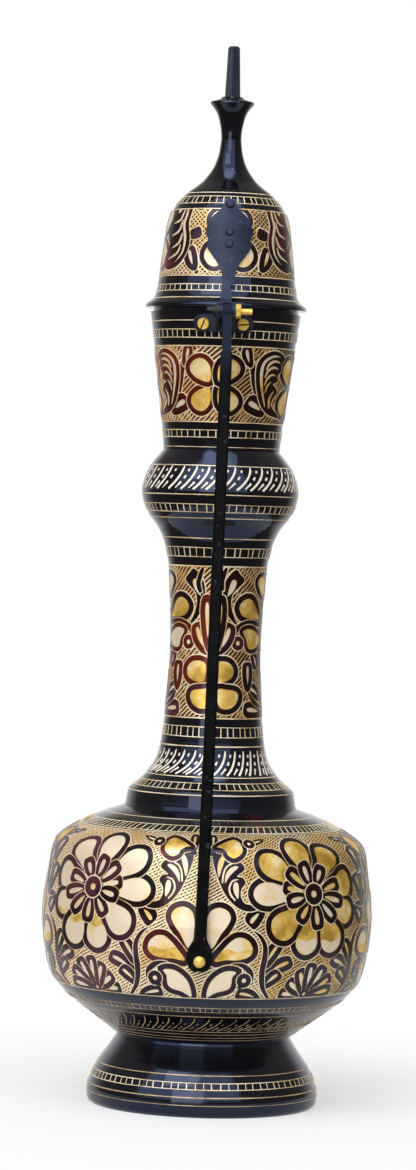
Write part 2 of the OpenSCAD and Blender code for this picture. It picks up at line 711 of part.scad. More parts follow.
// Lid strap and its rivets

module leaf_sheet() {
    line = between(dome_line, lid_z + lip_h, crown_z);
    shape = joined(curve(LEAF_LOWER, 3), curve(LEAF_UPPER, 3));
    half = [for (s = shape) [s[0] * leaf_w / 2, leaf_z + s[1] * leaf_len]];
    intersection() {
        turned_solid(concat(inset(line, -skin_gap - sheet_t), turned(inset(line, -skin_gap))));
        from_front() polygon(concat(half, [for (p = turned(half)) [-p[0], p[1]]]));
    }
}

// Side view of the stem, which steps over the dome's lip to the hinge
module stem_outline() {
    top_a = radius_at(dome_line, leaf_z + 3) + skin_gap;
    foot_a = radius_at(dome_line, leaf_z - 1) + skin_gap + 0.3;
    polygon([
        [top_a, leaf_z + 3], [foot_a, leaf_z - 1], [pin_a - eye_r - 0.1, pin_z + eye_r + 0.6],
        [pin_a - 1.6, pin_z + eye_r + 0.35], [pin_a - 0.3, pin_z + eye_r + 0.35],
        [pin_a - 0.3, pin_z + eye_r + 2], [foot_a + sheet_t + 1.2, leaf_z + 0.6],
        [top_a + sheet_t, leaf_z + 3]
    ]);
}

// Front view of the stem, drawn in at its waist, which shifts over to its one prong on the left
module stem_front() {
    left = -prong_x - leaf_t;
    waist_z = leaf_z - 2;
    foot_z = pin_z + eye_r + 2.5;
    w = strap_w / 2;
    polygon([
        [left, pin_z], [left, foot_z], [left + 0.9, waist_z], [-w, leaf_z], [-w, leaf_z + 4],
        [w, leaf_z + 4], [w, leaf_z], [left + 0.9 + neck_w, waist_z], [left + 1.6 + neck_w, foot_z],
        [left + 1.6 + neck_w, pin_z]
    ]);
}

module prong_outline() union() {
    translate([pin_a, pin_z]) circle(eye_r, $fn = 48);
    polygon([
        [pin_a - eye_r, pin_z], [pin_a - eye_r - 0.1, pin_z + eye_r + 0.6], [pin_a - 0.3, pin_z + eye_r + 2],
        [pin_a - 0.3, pin_z + eye_r * 0.5], [pin_a + eye_r * 0.8, pin_z + eye_r * 0.6], [pin_a, pin_z]
    ]);
}

module lid_strap() color(IRON) difference() {
    union() {
        leaf_sheet();
        intersection() {
            across(3 * strap_w) stem_outline();
            from_front() stem_front();
        }
        across(leaf_t, -prong_x - leaf_t / 2) prong_outline();
    }
    on_bolt() cylinder(h = CUT_LEN, r = bolt_r + running_gap, center = true);
    at_rivets() cylinder(h = CUT_LEN, r = rivet_r + running_gap, center = true);
}

module strap_rivets() color(IRON) at_rivets() {
    tail = dome_wall + burr_t + 0.5;
    translate([0, 0, sheet_t + 2 * skin_gap])
        cylinder(h = rivet_head_t, r1 = rivet_r + 0.8, r2 = rivet_r + 0.3);
    translate([0, 0, -tail]) cylinder(h = tail + sheet_t + skin_gap + 0.2, r = rivet_r);
    translate([0, 0, -tail - 0.5]) cylinder(h = 0.5 + EPS, r = rivet_r + 0.4);
}

module strap_rivet_burrs() color(BRASS) at_rivets() translate([0, 0, -dome_wall - burr_t - burr_gap])
    difference() {
        cylinder(h = burr_t, r = rivet_r + 1.1);
        translate([0, 0, -1]) cylinder(h = burr_t + 2, r = rivet_r + running_gap);
    }

foot();
lower_bowl();
upper_bowl();
shoulder_collar();
neck();
knop();
mouth_cup();
mouth_ring();
hinge_bracket();
bracket_screws();
hinge_bolt();
hinge_nut();
handle_tongue();
handle_bar();
handle_rivet();
handle_rivet_burr();
lid_dome();
finial();
finial_spike();
finial_stud();
finial_washer();
finial_nut();
lid_strap();
strap_rivets();
strap_rivet_burrs();
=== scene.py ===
# Looks of the surahi: turned sections in black lacquer, engraved brass bands, iron hinge and handle.
import random
from math import atan2, cos, degrees, hypot, pi, radians, sin, tan

import bmesh
import bpy
import numpy as np
from mathutils import Matrix, Vector
from mathutils.geometry import delaunay_2d_cdt


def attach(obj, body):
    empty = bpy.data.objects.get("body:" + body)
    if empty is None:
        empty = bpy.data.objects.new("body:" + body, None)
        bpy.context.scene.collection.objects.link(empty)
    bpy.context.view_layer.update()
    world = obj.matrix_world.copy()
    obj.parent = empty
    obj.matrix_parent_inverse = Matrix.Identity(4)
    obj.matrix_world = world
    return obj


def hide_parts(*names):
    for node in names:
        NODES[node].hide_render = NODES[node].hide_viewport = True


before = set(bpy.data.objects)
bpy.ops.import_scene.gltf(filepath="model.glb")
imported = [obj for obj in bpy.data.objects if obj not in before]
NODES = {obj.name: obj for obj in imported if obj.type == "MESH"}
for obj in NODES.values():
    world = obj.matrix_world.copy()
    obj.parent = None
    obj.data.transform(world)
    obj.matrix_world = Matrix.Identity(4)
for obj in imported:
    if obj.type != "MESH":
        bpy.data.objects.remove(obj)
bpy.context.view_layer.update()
SCENE = bpy.context.scene
MM = 0.001
SEGMENTS = 168
rng = random.Random(7)


class Nodes:
    """The node tree of a material or the world, while it is made."""

    def __init__(self, owner, kind="Material"):
        owner.use_nodes = True
        self.tree = owner.node_tree
        self.tree.nodes.clear()
        self.out = self.tree.nodes.new("ShaderNodeOutput" + kind).inputs[0]

    def feed(self, socket, value):
        """Links an input to an output, or sets its value. A colour gets its alpha here."""
        if isinstance(value, bpy.types.NodeSocket):
            self.tree.links.new(value, socket)
        else:
            socket.default_value = (*value, 1.0) if socket.type == "RGBA" else value

    def add(self, kind, inputs=(), out=0, **props):
        """A new node. Gives back one of its outputs, or all where out is None."""
        node = self.tree.nodes.new("ShaderNode" + kind)
        for key, value in props.items():
            setattr(node, key, value)
        for key, value in dict(inputs).items():
            self.feed(node.inputs[key], value)
        return node.outputs if out is None else node.outputs[out]

    def maths(self, op, a, b, c=0.0):
        return self.add("Math", {0: a, 1: b, 2: c}, operation=op)

    def plus(self, a, b):
        return self.maths("ADD", a, b)

    def times(self, a, b):
        return self.maths("MULTIPLY", a, b)

    def step(self, value, low, high, to_low=0.0, to_high=1.0, kind="SMOOTHSTEP"):
        """A value taken from one range into another, and held beyond it."""
        ranges = {0: value, 1: low, 2: high, 3: to_low, 4: to_high}
        return self.add("MapRange", ranges, interpolation_type=kind)

    def mix(self, fac, a, b):
        return self.add("Mix", {0: fac, 6: a, 7: b}, 2, data_type="RGBA")

    def place(self):
        """Where a point lies on the object, in metres."""
        return self.add("TexCoord", out=3)

    def split(self, vector):
        return self.add("SeparateXYZ", {0: vector}, None)

    def noise(self, scale, detail=2.0, rough=0.5, offset=(0, 0, 0), squeeze=(1, 1, 1)):
        moved = self.add("Mapping", {0: self.place(), 1: offset, 3: squeeze})
        return self.add("TexNoise", {"Vector": moved, "Scale": scale, "Detail": detail, "Roughness": rough})

    def sideways(self, value, share):
        """A value that changes from left to right by share per metre."""
        return self.maths("MULTIPLY_ADD", self.split(self.place())[0], share, value)


class Look(Nodes):
    """A material with a Principled shader."""

    def __init__(self, name):
        self.mat = bpy.data.materials.new(name)
        super().__init__(self.mat)
        self.shader = self.tree.nodes.new("ShaderNodeBsdfPrincipled")
        self.feed(self.out, self.shader.outputs[0])

    def set(self, key, value):
        self.feed(self.shader.inputs[key], value)

    def bump(self, height, strength, distance):
        self.set("Normal", self.add("Bump", {"Height": height, "Strength": strength, "Distance": distance}))


# Looks: colours are linear, and noise scales are per metre
SHEEN, PLUM = (0.49, 0.61, 1.0), (0.80, 0.66, 0.88)
WORN_LACQUER, RUBBED_IRON = (0.030, 0.022, 0.020), (0.06, 0.062, 0.07)
STROKE_BLACK, STROKE_RED = (0.012, 0.006, 0.004), (0.170, 0.034, 0.014)
PAINTED_SHEEN_FROM, PAINTED_SHEEN_TO = 0.286, 0.302  # metres; between these levels the handle's colour pales to a painted reflection


def lacquer(name, ground, stain_and_sheen, red_from, red_to, offset, ior, rough=0.12, sheen=PLUM, side=0.0):
    """Dark lacquer, worn in spots, with faint turning marks. Its second colour comes in between two levels of noise; on
    the outlines it is a painted purple sheen.
    """
    look = Look(name)
    # Where the second colour comes in; on the outlines these patches are a painted purple reflection.
    stain_and_sheen_mask = look.step(look.sideways(look.noise(26, 3, 0.55, offset), side), red_from, red_to)
    worn = look.times(look.step(look.noise(240, 3), 0.62, 0.8), 0.5)
    look.set("Base Color", look.mix(worn, look.mix(stain_and_sheen_mask, ground, stain_and_sheen), WORN_LACQUER))
    look.set("Roughness", look.step(look.noise(70, 4), 0.3, 0.7, rough, rough + 0.10, "LINEAR"))
    look.set("IOR", ior)
    look.set("Specular Tint", sheen)
    look.bump(look.noise(900, 2, squeeze=(0.02, 0.02, 1)), 0.05, 0.0004)
    return look.mat


def brass(name, tones, low, high, rough=0.36, size=120, dent=700, metal=0.4, side=0.0):
    """Brass: brown with tarnish below the noise level low, then golden, and pale with polish above high, the tone
    tilted across by side.
    """
    pale, gold, brown = tones
    middle = (low + high) / 2
    look = Look(name)
    fine = look.noise(size * 9, 3, 0.6)
    cloud = look.plus(look.times(look.noise(size, 2, 0.5), 0.86), look.times(fine, 0.14))
    # side tilts the tone from left to right: on the petals it is painted light, paler to the left; on the bolt it gives
    # a dark left end.
    tone = look.sideways(cloud, side)
    dull = look.mix(look.step(tone, low, middle), brown, gold)
    look.set("Base Color", look.mix(look.step(tone, middle, high), dull, pale))
    look.set("Metallic", metal)
    look.set("Roughness", look.step(fine, 0.3, 0.7, rough, rough + 0.16, "LINEAR"))
    look.bump(look.plus(look.noise(dent, 1), look.times(fine, 0.12)), 0.3, 0.001)
    return look.mat


def hatching(name, gap, first, second, bare, side, cross, tan, pale):
    """The ground between the flowers: dark lacquer scored by crossing strokes down to the brass.

    The strokes lie gap mm apart, across two directions. bare and the range cross say how much lacquer stays; side adds
    painted shade to the right.
    """
    look = Look(name)
    x, y, _ = look.split(look.add("UVMap", uv_map="flat"))
    sway = look.times(look.maths("SUBTRACT", look.noise(40, 1), 0.5), 2.6)
    hand = look.times(look.maths("SUBTRACT", look.noise(420, 1), 0.5), 0.35)
    faint = look.step(look.noise(75, 2, offset=(0.2, 0.4, 0.1)), 0.4, 0.6, *cross)
    lines = []
    # side leaves more lacquer towards the right: painted shade on that side.
    for (across, up), thin in ((first, look.sideways(bare, side)), (second, faint)):
        along = look.plus(look.plus(look.times(x, across), look.times(y, up)), look.plus(sway, hand))
        wave = look.maths("SINE", look.times(along, 2 * pi / gap), 0.0)
        lines.append(look.step(look.maths("SUBTRACT", wave, thin), -0.25, 0.25))
    cut = look.maths("MAXIMUM", *lines)
    # The brass in the cuts turns paler towards the left: painted light.
    light = look.mix(look.step(look.sideways(look.noise(60, 3), -3.0), 0.35, 0.65), tan, pale)
    dark = look.mix(look.step(look.sideways(0.2, -14.0), 0.0, 1.0), STROKE_BLACK, STROKE_RED)
    look.set("Base Color", look.mix(cut, dark, light))
    look.set("Metallic", look.times(cut, 0.5))
    look.set("Roughness", 0.45)
    look.bump(cut, 0.4, 0.0003)
    return look.mat


def iron(name, low, high, sheen, ior=1.5, top=None):
    """Painted iron, hand filed, with rubbed spots. Where top is given the colour pales to it high up: a painted
    reflection.
    """
    look = Look(name)
    cloud = look.noise(130, 4, 0.6)
    colour = look.mix(look.step(cloud, 0.3, 0.72), low, high)
    if top:
        # Higher up the colour pales to top: a painted reflection, not a paint colour.
        colour = look.mix(look.step(look.split(look.place())[2], PAINTED_SHEEN_FROM, PAINTED_SHEEN_TO), colour, top)
    rub = look.times(look.step(look.noise(300, 4), 0.63, 0.72), 0.6)
    look.set("Base Color", look.mix(rub, colour, RUBBED_IRON))
    look.set("Roughness", look.step(cloud, 0.3, 0.7, 0.34, 0.5, "LINEAR"))
    look.set("IOR", ior)
    look.set("Specular Tint", sheen)
    look.bump(look.plus(cloud, look.times(look.noise(1500, 3), 0.35)), 0.3, 0.0008)
    return look.mat


BLACK, MAROON = (0.004, 0.004, 0.006), (0.100, 0.012, 0.010)
# The purple on the next line is a painted reflection: a sheen put into the outline lacquer's colour.
UMBER, PAINTED_PURPLE_SHEEN, WINE = (0.008, 0.004, 0.004), (0.075, 0.020, 0.034), (0.085, 0.012, 0.013)
OXBLOOD, RUST = (0.045, 0.006, 0.004), (0.15, 0.020, 0.007)
PETAL_TONES = (0.89, 0.77, 0.58), (0.86, 0.62, 0.20), (0.50, 0.29, 0.07)
GOLD_TONES = (1.0, 0.84, 0.47), (0.86, 0.58, 0.13), (0.55, 0.33, 0.05)
LINE_TONES = (0.98, 0.86, 0.62), (0.90, 0.68, 0.36), (0.5, 0.3, 0.1)
WHITE_TONES = (1.0, 0.94, 0.82), (0.98, 0.86, 0.66), (0.7, 0.5, 0.3)
# Darker cut tones: painted shade for cuts on parts that face down.
SHADED_CUT_TONES = (0.66, 0.49, 0.28), (0.48, 0.33, 0.17), (0.20, 0.12, 0.05)
BARE_TONES = (0.86, 0.60, 0.13), (0.78, 0.50, 0.08), (0.34, 0.18, 0.03)
# Painted shade for the screws' slots.
SLOT_SHADE_TONES = (0.16, 0.09, 0.02), (0.07, 0.04, 0.01), (0.03, 0.015, 0.005)
BOLT_TONES = (0.86, 0.60, 0.13), (0.60, 0.36, 0.06), (0.035, 0.022, 0.010)
TAN = (0.88, 0.58, 0.20)
RISING, LEVEL, FALLING = (-0.69, 0.72), (-0.45, 0.89), (0.9, -0.43)
MAT = {
    "skin": lacquer("black_lacquer", BLACK, MAROON, 0.69, 0.80, (0.31, 0.12, 0.05), 1.54, rough=0.035, sheen=SHEEN),
    # The outline lacquer's purple patches, more of them to the left, are a painted reflection.
    "dark": lacquer("outline_lacquer", UMBER, PAINTED_PURPLE_SHEEN, 0.54, 0.68, (0.02, 0.35, 0.11), 1.45, side=-1.6),
    "wine": lacquer("wine_lacquer", UMBER, WINE, 0.40, 0.60, (0.2, 0.3, 0.2), 1.42, side=-0.8),
    "red": lacquer("maroon_lacquer", OXBLOOD, RUST, 0.38, 0.62, (0.5, 0.1, 0.3), 1.36, rough=0.14),
    # The petal brass and gold turn paler to the left: painted light.
    "brass": brass("petal_brass", PETAL_TONES, 0.24, 0.50, rough=0.42, size=70, dent=110, metal=0.42, side=-1.0),
    "gold": brass("petal_gold", GOLD_TONES, 0.34, 0.65, size=140, dent=110, metal=0.55, side=-0.5),
    "line": brass("cut_line", LINE_TONES, 0.28, 0.55, metal=0.2),
    "white": brass("white_cut", WHITE_TONES, 0.25, 0.5, metal=0.1),
    # The dull look is painted shade: cut lines darkened as if out of the light.
    "dull": brass("painted_shade_cut", SHADED_CUT_TONES, 0.28, 0.55, rough=0.4, metal=0.3),
    # Each hatching is painted darker to the right and paler to the left: painted shade and painted light.
    "hatch": hatching(
        "belly_ground", 1.15, LEVEL, FALLING, bare=0.18, side=7.0, cross=(0.5, 0.95), tan=TAN, pale=(1.0, 0.84, 0.54)
    ),
    "coarse": hatching(
        "neck_ground", 1.45, RISING, FALLING, bare=0.55, side=15.0, cross=(0.6, 1.25),
        tan=(0.90, 0.54, 0.19), pale=(1.0, 0.76, 0.42),
    ),
    "crossed": hatching(
        "lid_ground", 1.35, RISING, (0.69, 0.72), bare=0.58, side=12.0, cross=(0.55, 0.8),
        tan=TAN, pale=(1.0, 0.82, 0.52),
    ),
    "iron": iron("strap_iron", (0.005, 0.007, 0.011), (0.026, 0.033, 0.053), SHEEN),
    # The bar's top colour is a painted bluish reflection on its upper part.
    "bar": iron(
        "bar_iron", (0.003, 0.003, 0.003), (0.007, 0.007, 0.007), (0.6, 0.65, 0.8), ior=1.13, top=(0.016, 0.022, 0.038)
    ),
    "bare": brass("bare_brass", BARE_TONES, 0.26, 0.42, rough=0.28, size=420, dent=1200),
    # Darker brass for the screws' slots: painted shade.
    "slot_shade": brass("painted_slot_shade", SLOT_SHADE_TONES, 0.3, 0.6, rough=0.4, size=420, dent=1200),
    # The bolt's brass turns dark towards its left end.
    "bolt": brass("bolt_brass", BOLT_TONES, 0.42, 0.56, rough=0.3, size=300, dent=1200, metal=0.6, side=26),
}
# Kinds of raised work in their order on a mesh, and how far those of the drawings stand proud, in mm
KINDS = ["hatch", "line", "brass", "gold", "dark", "wine", "red", "white", "dull"]
RISE = {"hatch": 0.09, "line": 0.12, "brass": 0.14, "gold": 0.14, "dark": 0.28, "wine": 0.28, "red": 0.28}


# Turned sections, rebuilt smooth from the outlines of their solids
SECTION_TURN = 0.3103  # radians; no hole is cut there
STRAIGHT_TURN, CORNER_TURN, SHARP_TURN = 0.12, 22, 28  # degrees
SHORT_RUN, LONG_RUN = 0.6, 4.5  # mm; the runs between these are rounded
WELD = 1e-7  # metres


def section_loop(name):
    """Outline of a turned solid, as radius and level in mm, and whether it is closed."""
    bm = bmesh.new()
    bm.from_mesh(NODES[name].data)
    bmesh.ops.remove_doubles(bm, verts=bm.verts, dist=WELD)
    ray = Vector((cos(SECTION_TURN), sin(SECTION_TURN), 0))
    solid = bm.verts[:] + bm.edges[:] + bm.faces[:]
    cut = bmesh.ops.bisect_plane(bm, geom=solid, plane_co=(0, 0, 0), plane_no=(-ray.y, ray.x, 0), dist=1e-9)
    near = {}
    for e in cut["geom_cut"]:
        if isinstance(e, bmesh.types.BMEdge):
            ends = [(round(v.co.dot(ray) / MM, 4), round(v.co.z / MM, 4)) for v in e.verts]
            if min(p[0] for p in ends) > -0.001 and ends[0] != ends[1]:
                for a, b in (ends, ends[::-1]):
                    near.setdefault(a, set()).add(b)
    bm.free()
    loose = [p for p in near if len(near[p]) == 1]
    walk = [min(loose, key=lambda p: p[1]) if loose else max(near)]
    while True:
        ahead = sorted(p for p in near[walk[-1]] if p not in walk)
        if not ahead:
            break
        walk.append(ahead[-1])
    return np.array(walk), not loose


def turn_angle(a, b, c):
    """How far a line turns at b, in degrees."""
    u, v = b - a, c - b
    return abs(degrees(atan2(u[0] * v[1] - u[1] * v[0], u @ v)))


def four_points(p, i, closed):
    """The points from i - 1 to i + 2, round a closed line or held at an open one's ends."""
    n = len(p)
    return [p[j % n] if closed else p[min(max(j, 0), n - 1)] for j in range(i - 1, i + 3)]


def curve(a, b, c, d, t):
    """The point at t from b to c on a smooth curve from a to d."""
    return 0.5 * (2 * b + (c - a) * t + (2 * a - 5 * b + 4 * c - d) * t * t + (3 * b - a - 3 * c + d) * t ** 3)


def smooth_loop(points, closed):
    """The outline with its straight runs thinned and its curves rounded, corners kept."""
    kept, n = [], len(points)
    for i in range(n):
        inner = closed or 0 < i < n - 1
        if not inner or turn_angle(points[i - 1], points[i], points[(i + 1) % n]) > STRAIGHT_TURN:
            kept.append(points[i])
    p, n = np.array(kept), len(kept)
    out = []
    for i in range(n if closed else n - 1):
        a, b, c, d = four_points(p, i, closed)
        out.append(b)
        run = np.hypot(*(c - b))
        sharp_b = turn_angle(a, b, c) > CORNER_TURN or not (closed or i)
        sharp_c = turn_angle(b, c, d) > CORNER_TURN
        if not SHORT_RUN < run < LONG_RUN or (sharp_b and sharp_c):
            continue
        a = 2 * b - c if sharp_b else b - (b - a) / np.hypot(*(b - a)) * run
        d = 2 * c - b if sharp_c else c + (d - c) / max(np.hypot(*(d - c)), 1e-9) * run
        out += [curve(a, b, c, d, t) for t in (1 / 3, 2 / 3)]
    if not closed:
        out.append(p[-1])
    return np.array(out)


def turns(n):
    """Angles at n even steps round the axis."""
    return [2 * pi * k / n for k in range(n)]


def bands(rows, sides, closed=False):
    """Faces between rows of points that go round the axis."""
    faces = []
    for i in range(rows if closed else rows - 1):
        a, b = i * sides, (i + 1) % rows * sides
        faces += [(a + k, a + (k + 1) % sides, b + (k + 1) % sides, b + k) for k in range(sides)]
    return faces


def link(name, data):
    obj = bpy.data.objects.new(name, data)
    SCENE.collection.objects.link(obj)
    return obj


def finish_piece(name, mesh, body, replaced=()):
    """Puts a mesh in the scene as a piece that rides a body."""
    obj = link(name, mesh)
    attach(obj, body)
    if replaced:
        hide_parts(*replaced)


def lathe(name, body):
    """A smooth skin in place of a turned solid. Gives back its outline."""
    points, closed = section_loop(name)
    loop = smooth_loop(points, closed)
    verts = [(r * MM * sin(t), -r * MM * cos(t), z * MM) for r, z in loop for t in turns(SEGMENTS)]
    mesh = bpy.data.meshes.new(name + "_skin")
    mesh.from_pydata(verts, [], bands(len(loop), SEGMENTS, closed))
    bm = bmesh.new()
    bm.from_mesh(mesh)
    bmesh.ops.remove_doubles(bm, verts=bm.verts, dist=WELD)
    bmesh.ops.recalc_face_normals(bm, faces=bm.faces)
    bm.to_mesh(mesh)
    bm.free()
    mesh.shade_smooth()
    mesh.set_sharp_from_angle(angle=radians(SHARP_TURN))
    mesh.materials.append(MAT["skin"])
    finish_piece(name + "_skin", mesh, body, [name])
    return loop, closed


WALL_STEP, SLOPE_REACH = 0.1, 0.4  # mm


class Wall:
    """Outer face of turned sections, by level and by the distance up along it."""

    def __init__(self, *names):
        segments = []
        for n in names:
            loop, closed = LOOPS[n]
            ends = np.roll(loop, -1, axis=0) if closed else loop[1:]
            segments += [(a, b) for a, b in zip(loop, ends) if abs(a[1] - b[1]) > 1e-6]
        levels = [p[1] for ends in segments for p in ends]
        self.z = np.arange(min(levels), max(levels), WALL_STEP)
        self.r = np.zeros(len(self.z))
        for a, b in segments:
            (r0, z0), (r1, z1) = sorted((tuple(a), tuple(b)), key=lambda p: p[1])
            here = (self.z >= z0) & (self.z <= z1)
            self.r[here] = np.maximum(self.r[here], r0 + (r1 - r0) * (self.z[here] - z0) / (z1 - z0))
        self.s = np.concatenate([[0], np.cumsum(np.hypot(np.diff(self.z), np.diff(self.r)))])

    def up(self, z):
        """How far up along the wall a level lies."""
        return float(np.interp(z, self.z, self.s))

    def at(self, s):
        """Radius and level at s up along the wall."""
        return np.interp(s, self.s, self.r), np.interp(s, self.s, self.z)

    def point(self, theta, s, rise):
        """Place and normal of the point at angle theta, s up along the wall and rise proud of it."""
        (r0, z0), (r, z), (r1, z1) = (self.at(s + reach) for reach in (-SLOPE_REACH, 0, SLOPE_REACH))
        size = hypot(r1 - r0, z1 - z0) or 1
        nr, nz = (z1 - z0) / size, (r0 - r1) / size
        r, z = (r + rise * nr) * MM, (z + rise * nz) * MM
        x, y = sin(theta), -cos(theta)
        return (r * x, r * y, z), (nr * x, nr * y, nz)


# Drawing in the flat, in mm: x runs round the wall to the right, y up along it
LINE_ROUND = 0.42  # mm; the bright line round a leaf
WAVE = 0.6  # mm; how far the edge of a golden part strays from its level


def ccw(poly):
    """The outline, run counterclockwise."""
    poly = np.asarray(poly, float)
    x, y = poly[:, 0], poly[:, 1]
    return poly if np.sum(x * np.roll(y, -1) - np.roll(x, -1) * y) > 0 else poly[::-1]


def leaf(base, tip, width, bend=0.0, peak=0.64, blunt=1.15, n=14):
    """A leaf's outline, broadest at peak. A lower blunt makes its ends rounder."""
    base, tip = np.array(base, float), np.array(tip, float)
    axis = tip - base
    side = np.array([-axis[1], axis[0]]) / np.hypot(*axis)
    t = (1 - np.cos(np.linspace(0, pi, n + 1))) / 2
    a, b = blunt * peak, blunt * (1 - peak)
    half = t ** a * (1 - t) ** b / (peak ** a * (1 - peak) ** b) * width / 2
    mid = base + np.outer(t, axis) + np.outer(bend * 4 * t * (1 - t), side)
    return ccw(np.concatenate([mid + np.outer(half, side), (mid - np.outer(half, side))[1:-1][::-1]]))


def petal(centre, angle, near, far, width):
    """A petal that widens outwards from near to a broad round end at far."""
    t = radians(angle)
    out, side = np.array([cos(t), sin(t)]), np.array([-sin(t), cos(t)])
    half = [(0, 0.40), (0.3, 0.68), (0.58, 0.97), (0.8, 0.92), (0.95, 0.52)]
    edge = [centre + out * (near + (far - near) * u) + side * width / 2 * v for u, v in half]
    back = [centre + out * (near + (far - near) * u) - side * width / 2 * v for u, v in half[::-1]]
    return blob(edge + [centre + out * far] + back, 3)


def spline(points, n, closed=False):
    """A smooth line through the points, in n steps from each to the next."""
    p, out = np.array(points, float), []
    for i in range(len(p) if closed else len(p) - 1):
        corners = four_points(p, i, closed)
        out += [curve(*corners, t) for t in np.arange(n) / n]
    if not closed:
        out.append(p[-1])
    return np.array(out)


def blob(points, n=4):
    """A smooth closed outline through the points."""
    return ccw(spline(points, n, True))


def leftward(v):
    """Unit vectors to the left of the vectors v."""
    return np.c_[-v[:, 1], v[:, 0]] / np.maximum(np.hypot(v[:, 0], v[:, 1]), 1e-9)[:, None]


def stroke(points, width, tail=0.3):
    """A brush stroke along the points, fullest near its end."""
    mid = spline(points, 5)
    side = leftward(np.gradient(mid, axis=0))
    t = np.linspace(0, 1, len(mid))
    half = width / 2 * (tail + (1 - tail) * np.sin(pi * t ** 0.8)) * np.minimum(1, (1 - t) * 6 + 0.25)
    return ccw(np.concatenate([mid + side * half[:, None], (mid - side * half[:, None])[::-1]]))


def disc(centre, r, n=20):
    t = np.arange(n) * 2 * pi / n
    return np.c_[centre[0] + r * np.cos(t), centre[1] + r * np.sin(t)]


def inside(poly, points):
    """Which of the points lie in an outline, by how it winds round them."""
    wind = np.zeros(len(points), int)
    x, y = points[:, 0], points[:, 1]
    for (x0, y0), (x1, y1) in zip(poly, np.roll(poly, -1, axis=0)):
        side = (x1 - x0) * (y - y0) - (x - x0) * (y1 - y0)
        wind += (y0 <= y) & (y1 > y) & (side > 0)
        wind -= (y0 > y) & (y1 <= y) & (side < 0)
    return wind != 0


def grown(poly, d):
    """The outline moved outwards by d."""
    ahead, behind = np.roll(poly, -1, axis=0) - poly, poly - np.roll(poly, 1, axis=0)
    mean = leftward(behind) + leftward(ahead)
    size = np.maximum((mean ** 2).sum(1), 1.1)
    return poly - mean * (2 * d / size)[:, None]


def part_of(poly, level, keep):
    """The part of an outline above a level (keep 1) or below it (-1), cut along a wavy line."""
    cut = []
    for p, q in zip(poly, np.roll(poly, -1, axis=0)):
        a, b = (p[1] - level) * keep, (q[1] - level) * keep
        if a >= 0:
            cut.append(p)
        if a * b < 0:
            cut.append(p + (q - p) * a / (a - b))
    out = []
    for p, q in zip(cut, cut[1:] + cut[:1]):
        out.append(p)
        if max(abs(p[1] - level), abs(q[1] - level)) < 1e-9:
            for t in np.linspace(0, 1, 9)[1:-1]:
                out.append(p + (q - p) * t + [0, WAVE * sin(3 * pi * t)])
    return np.array(out)


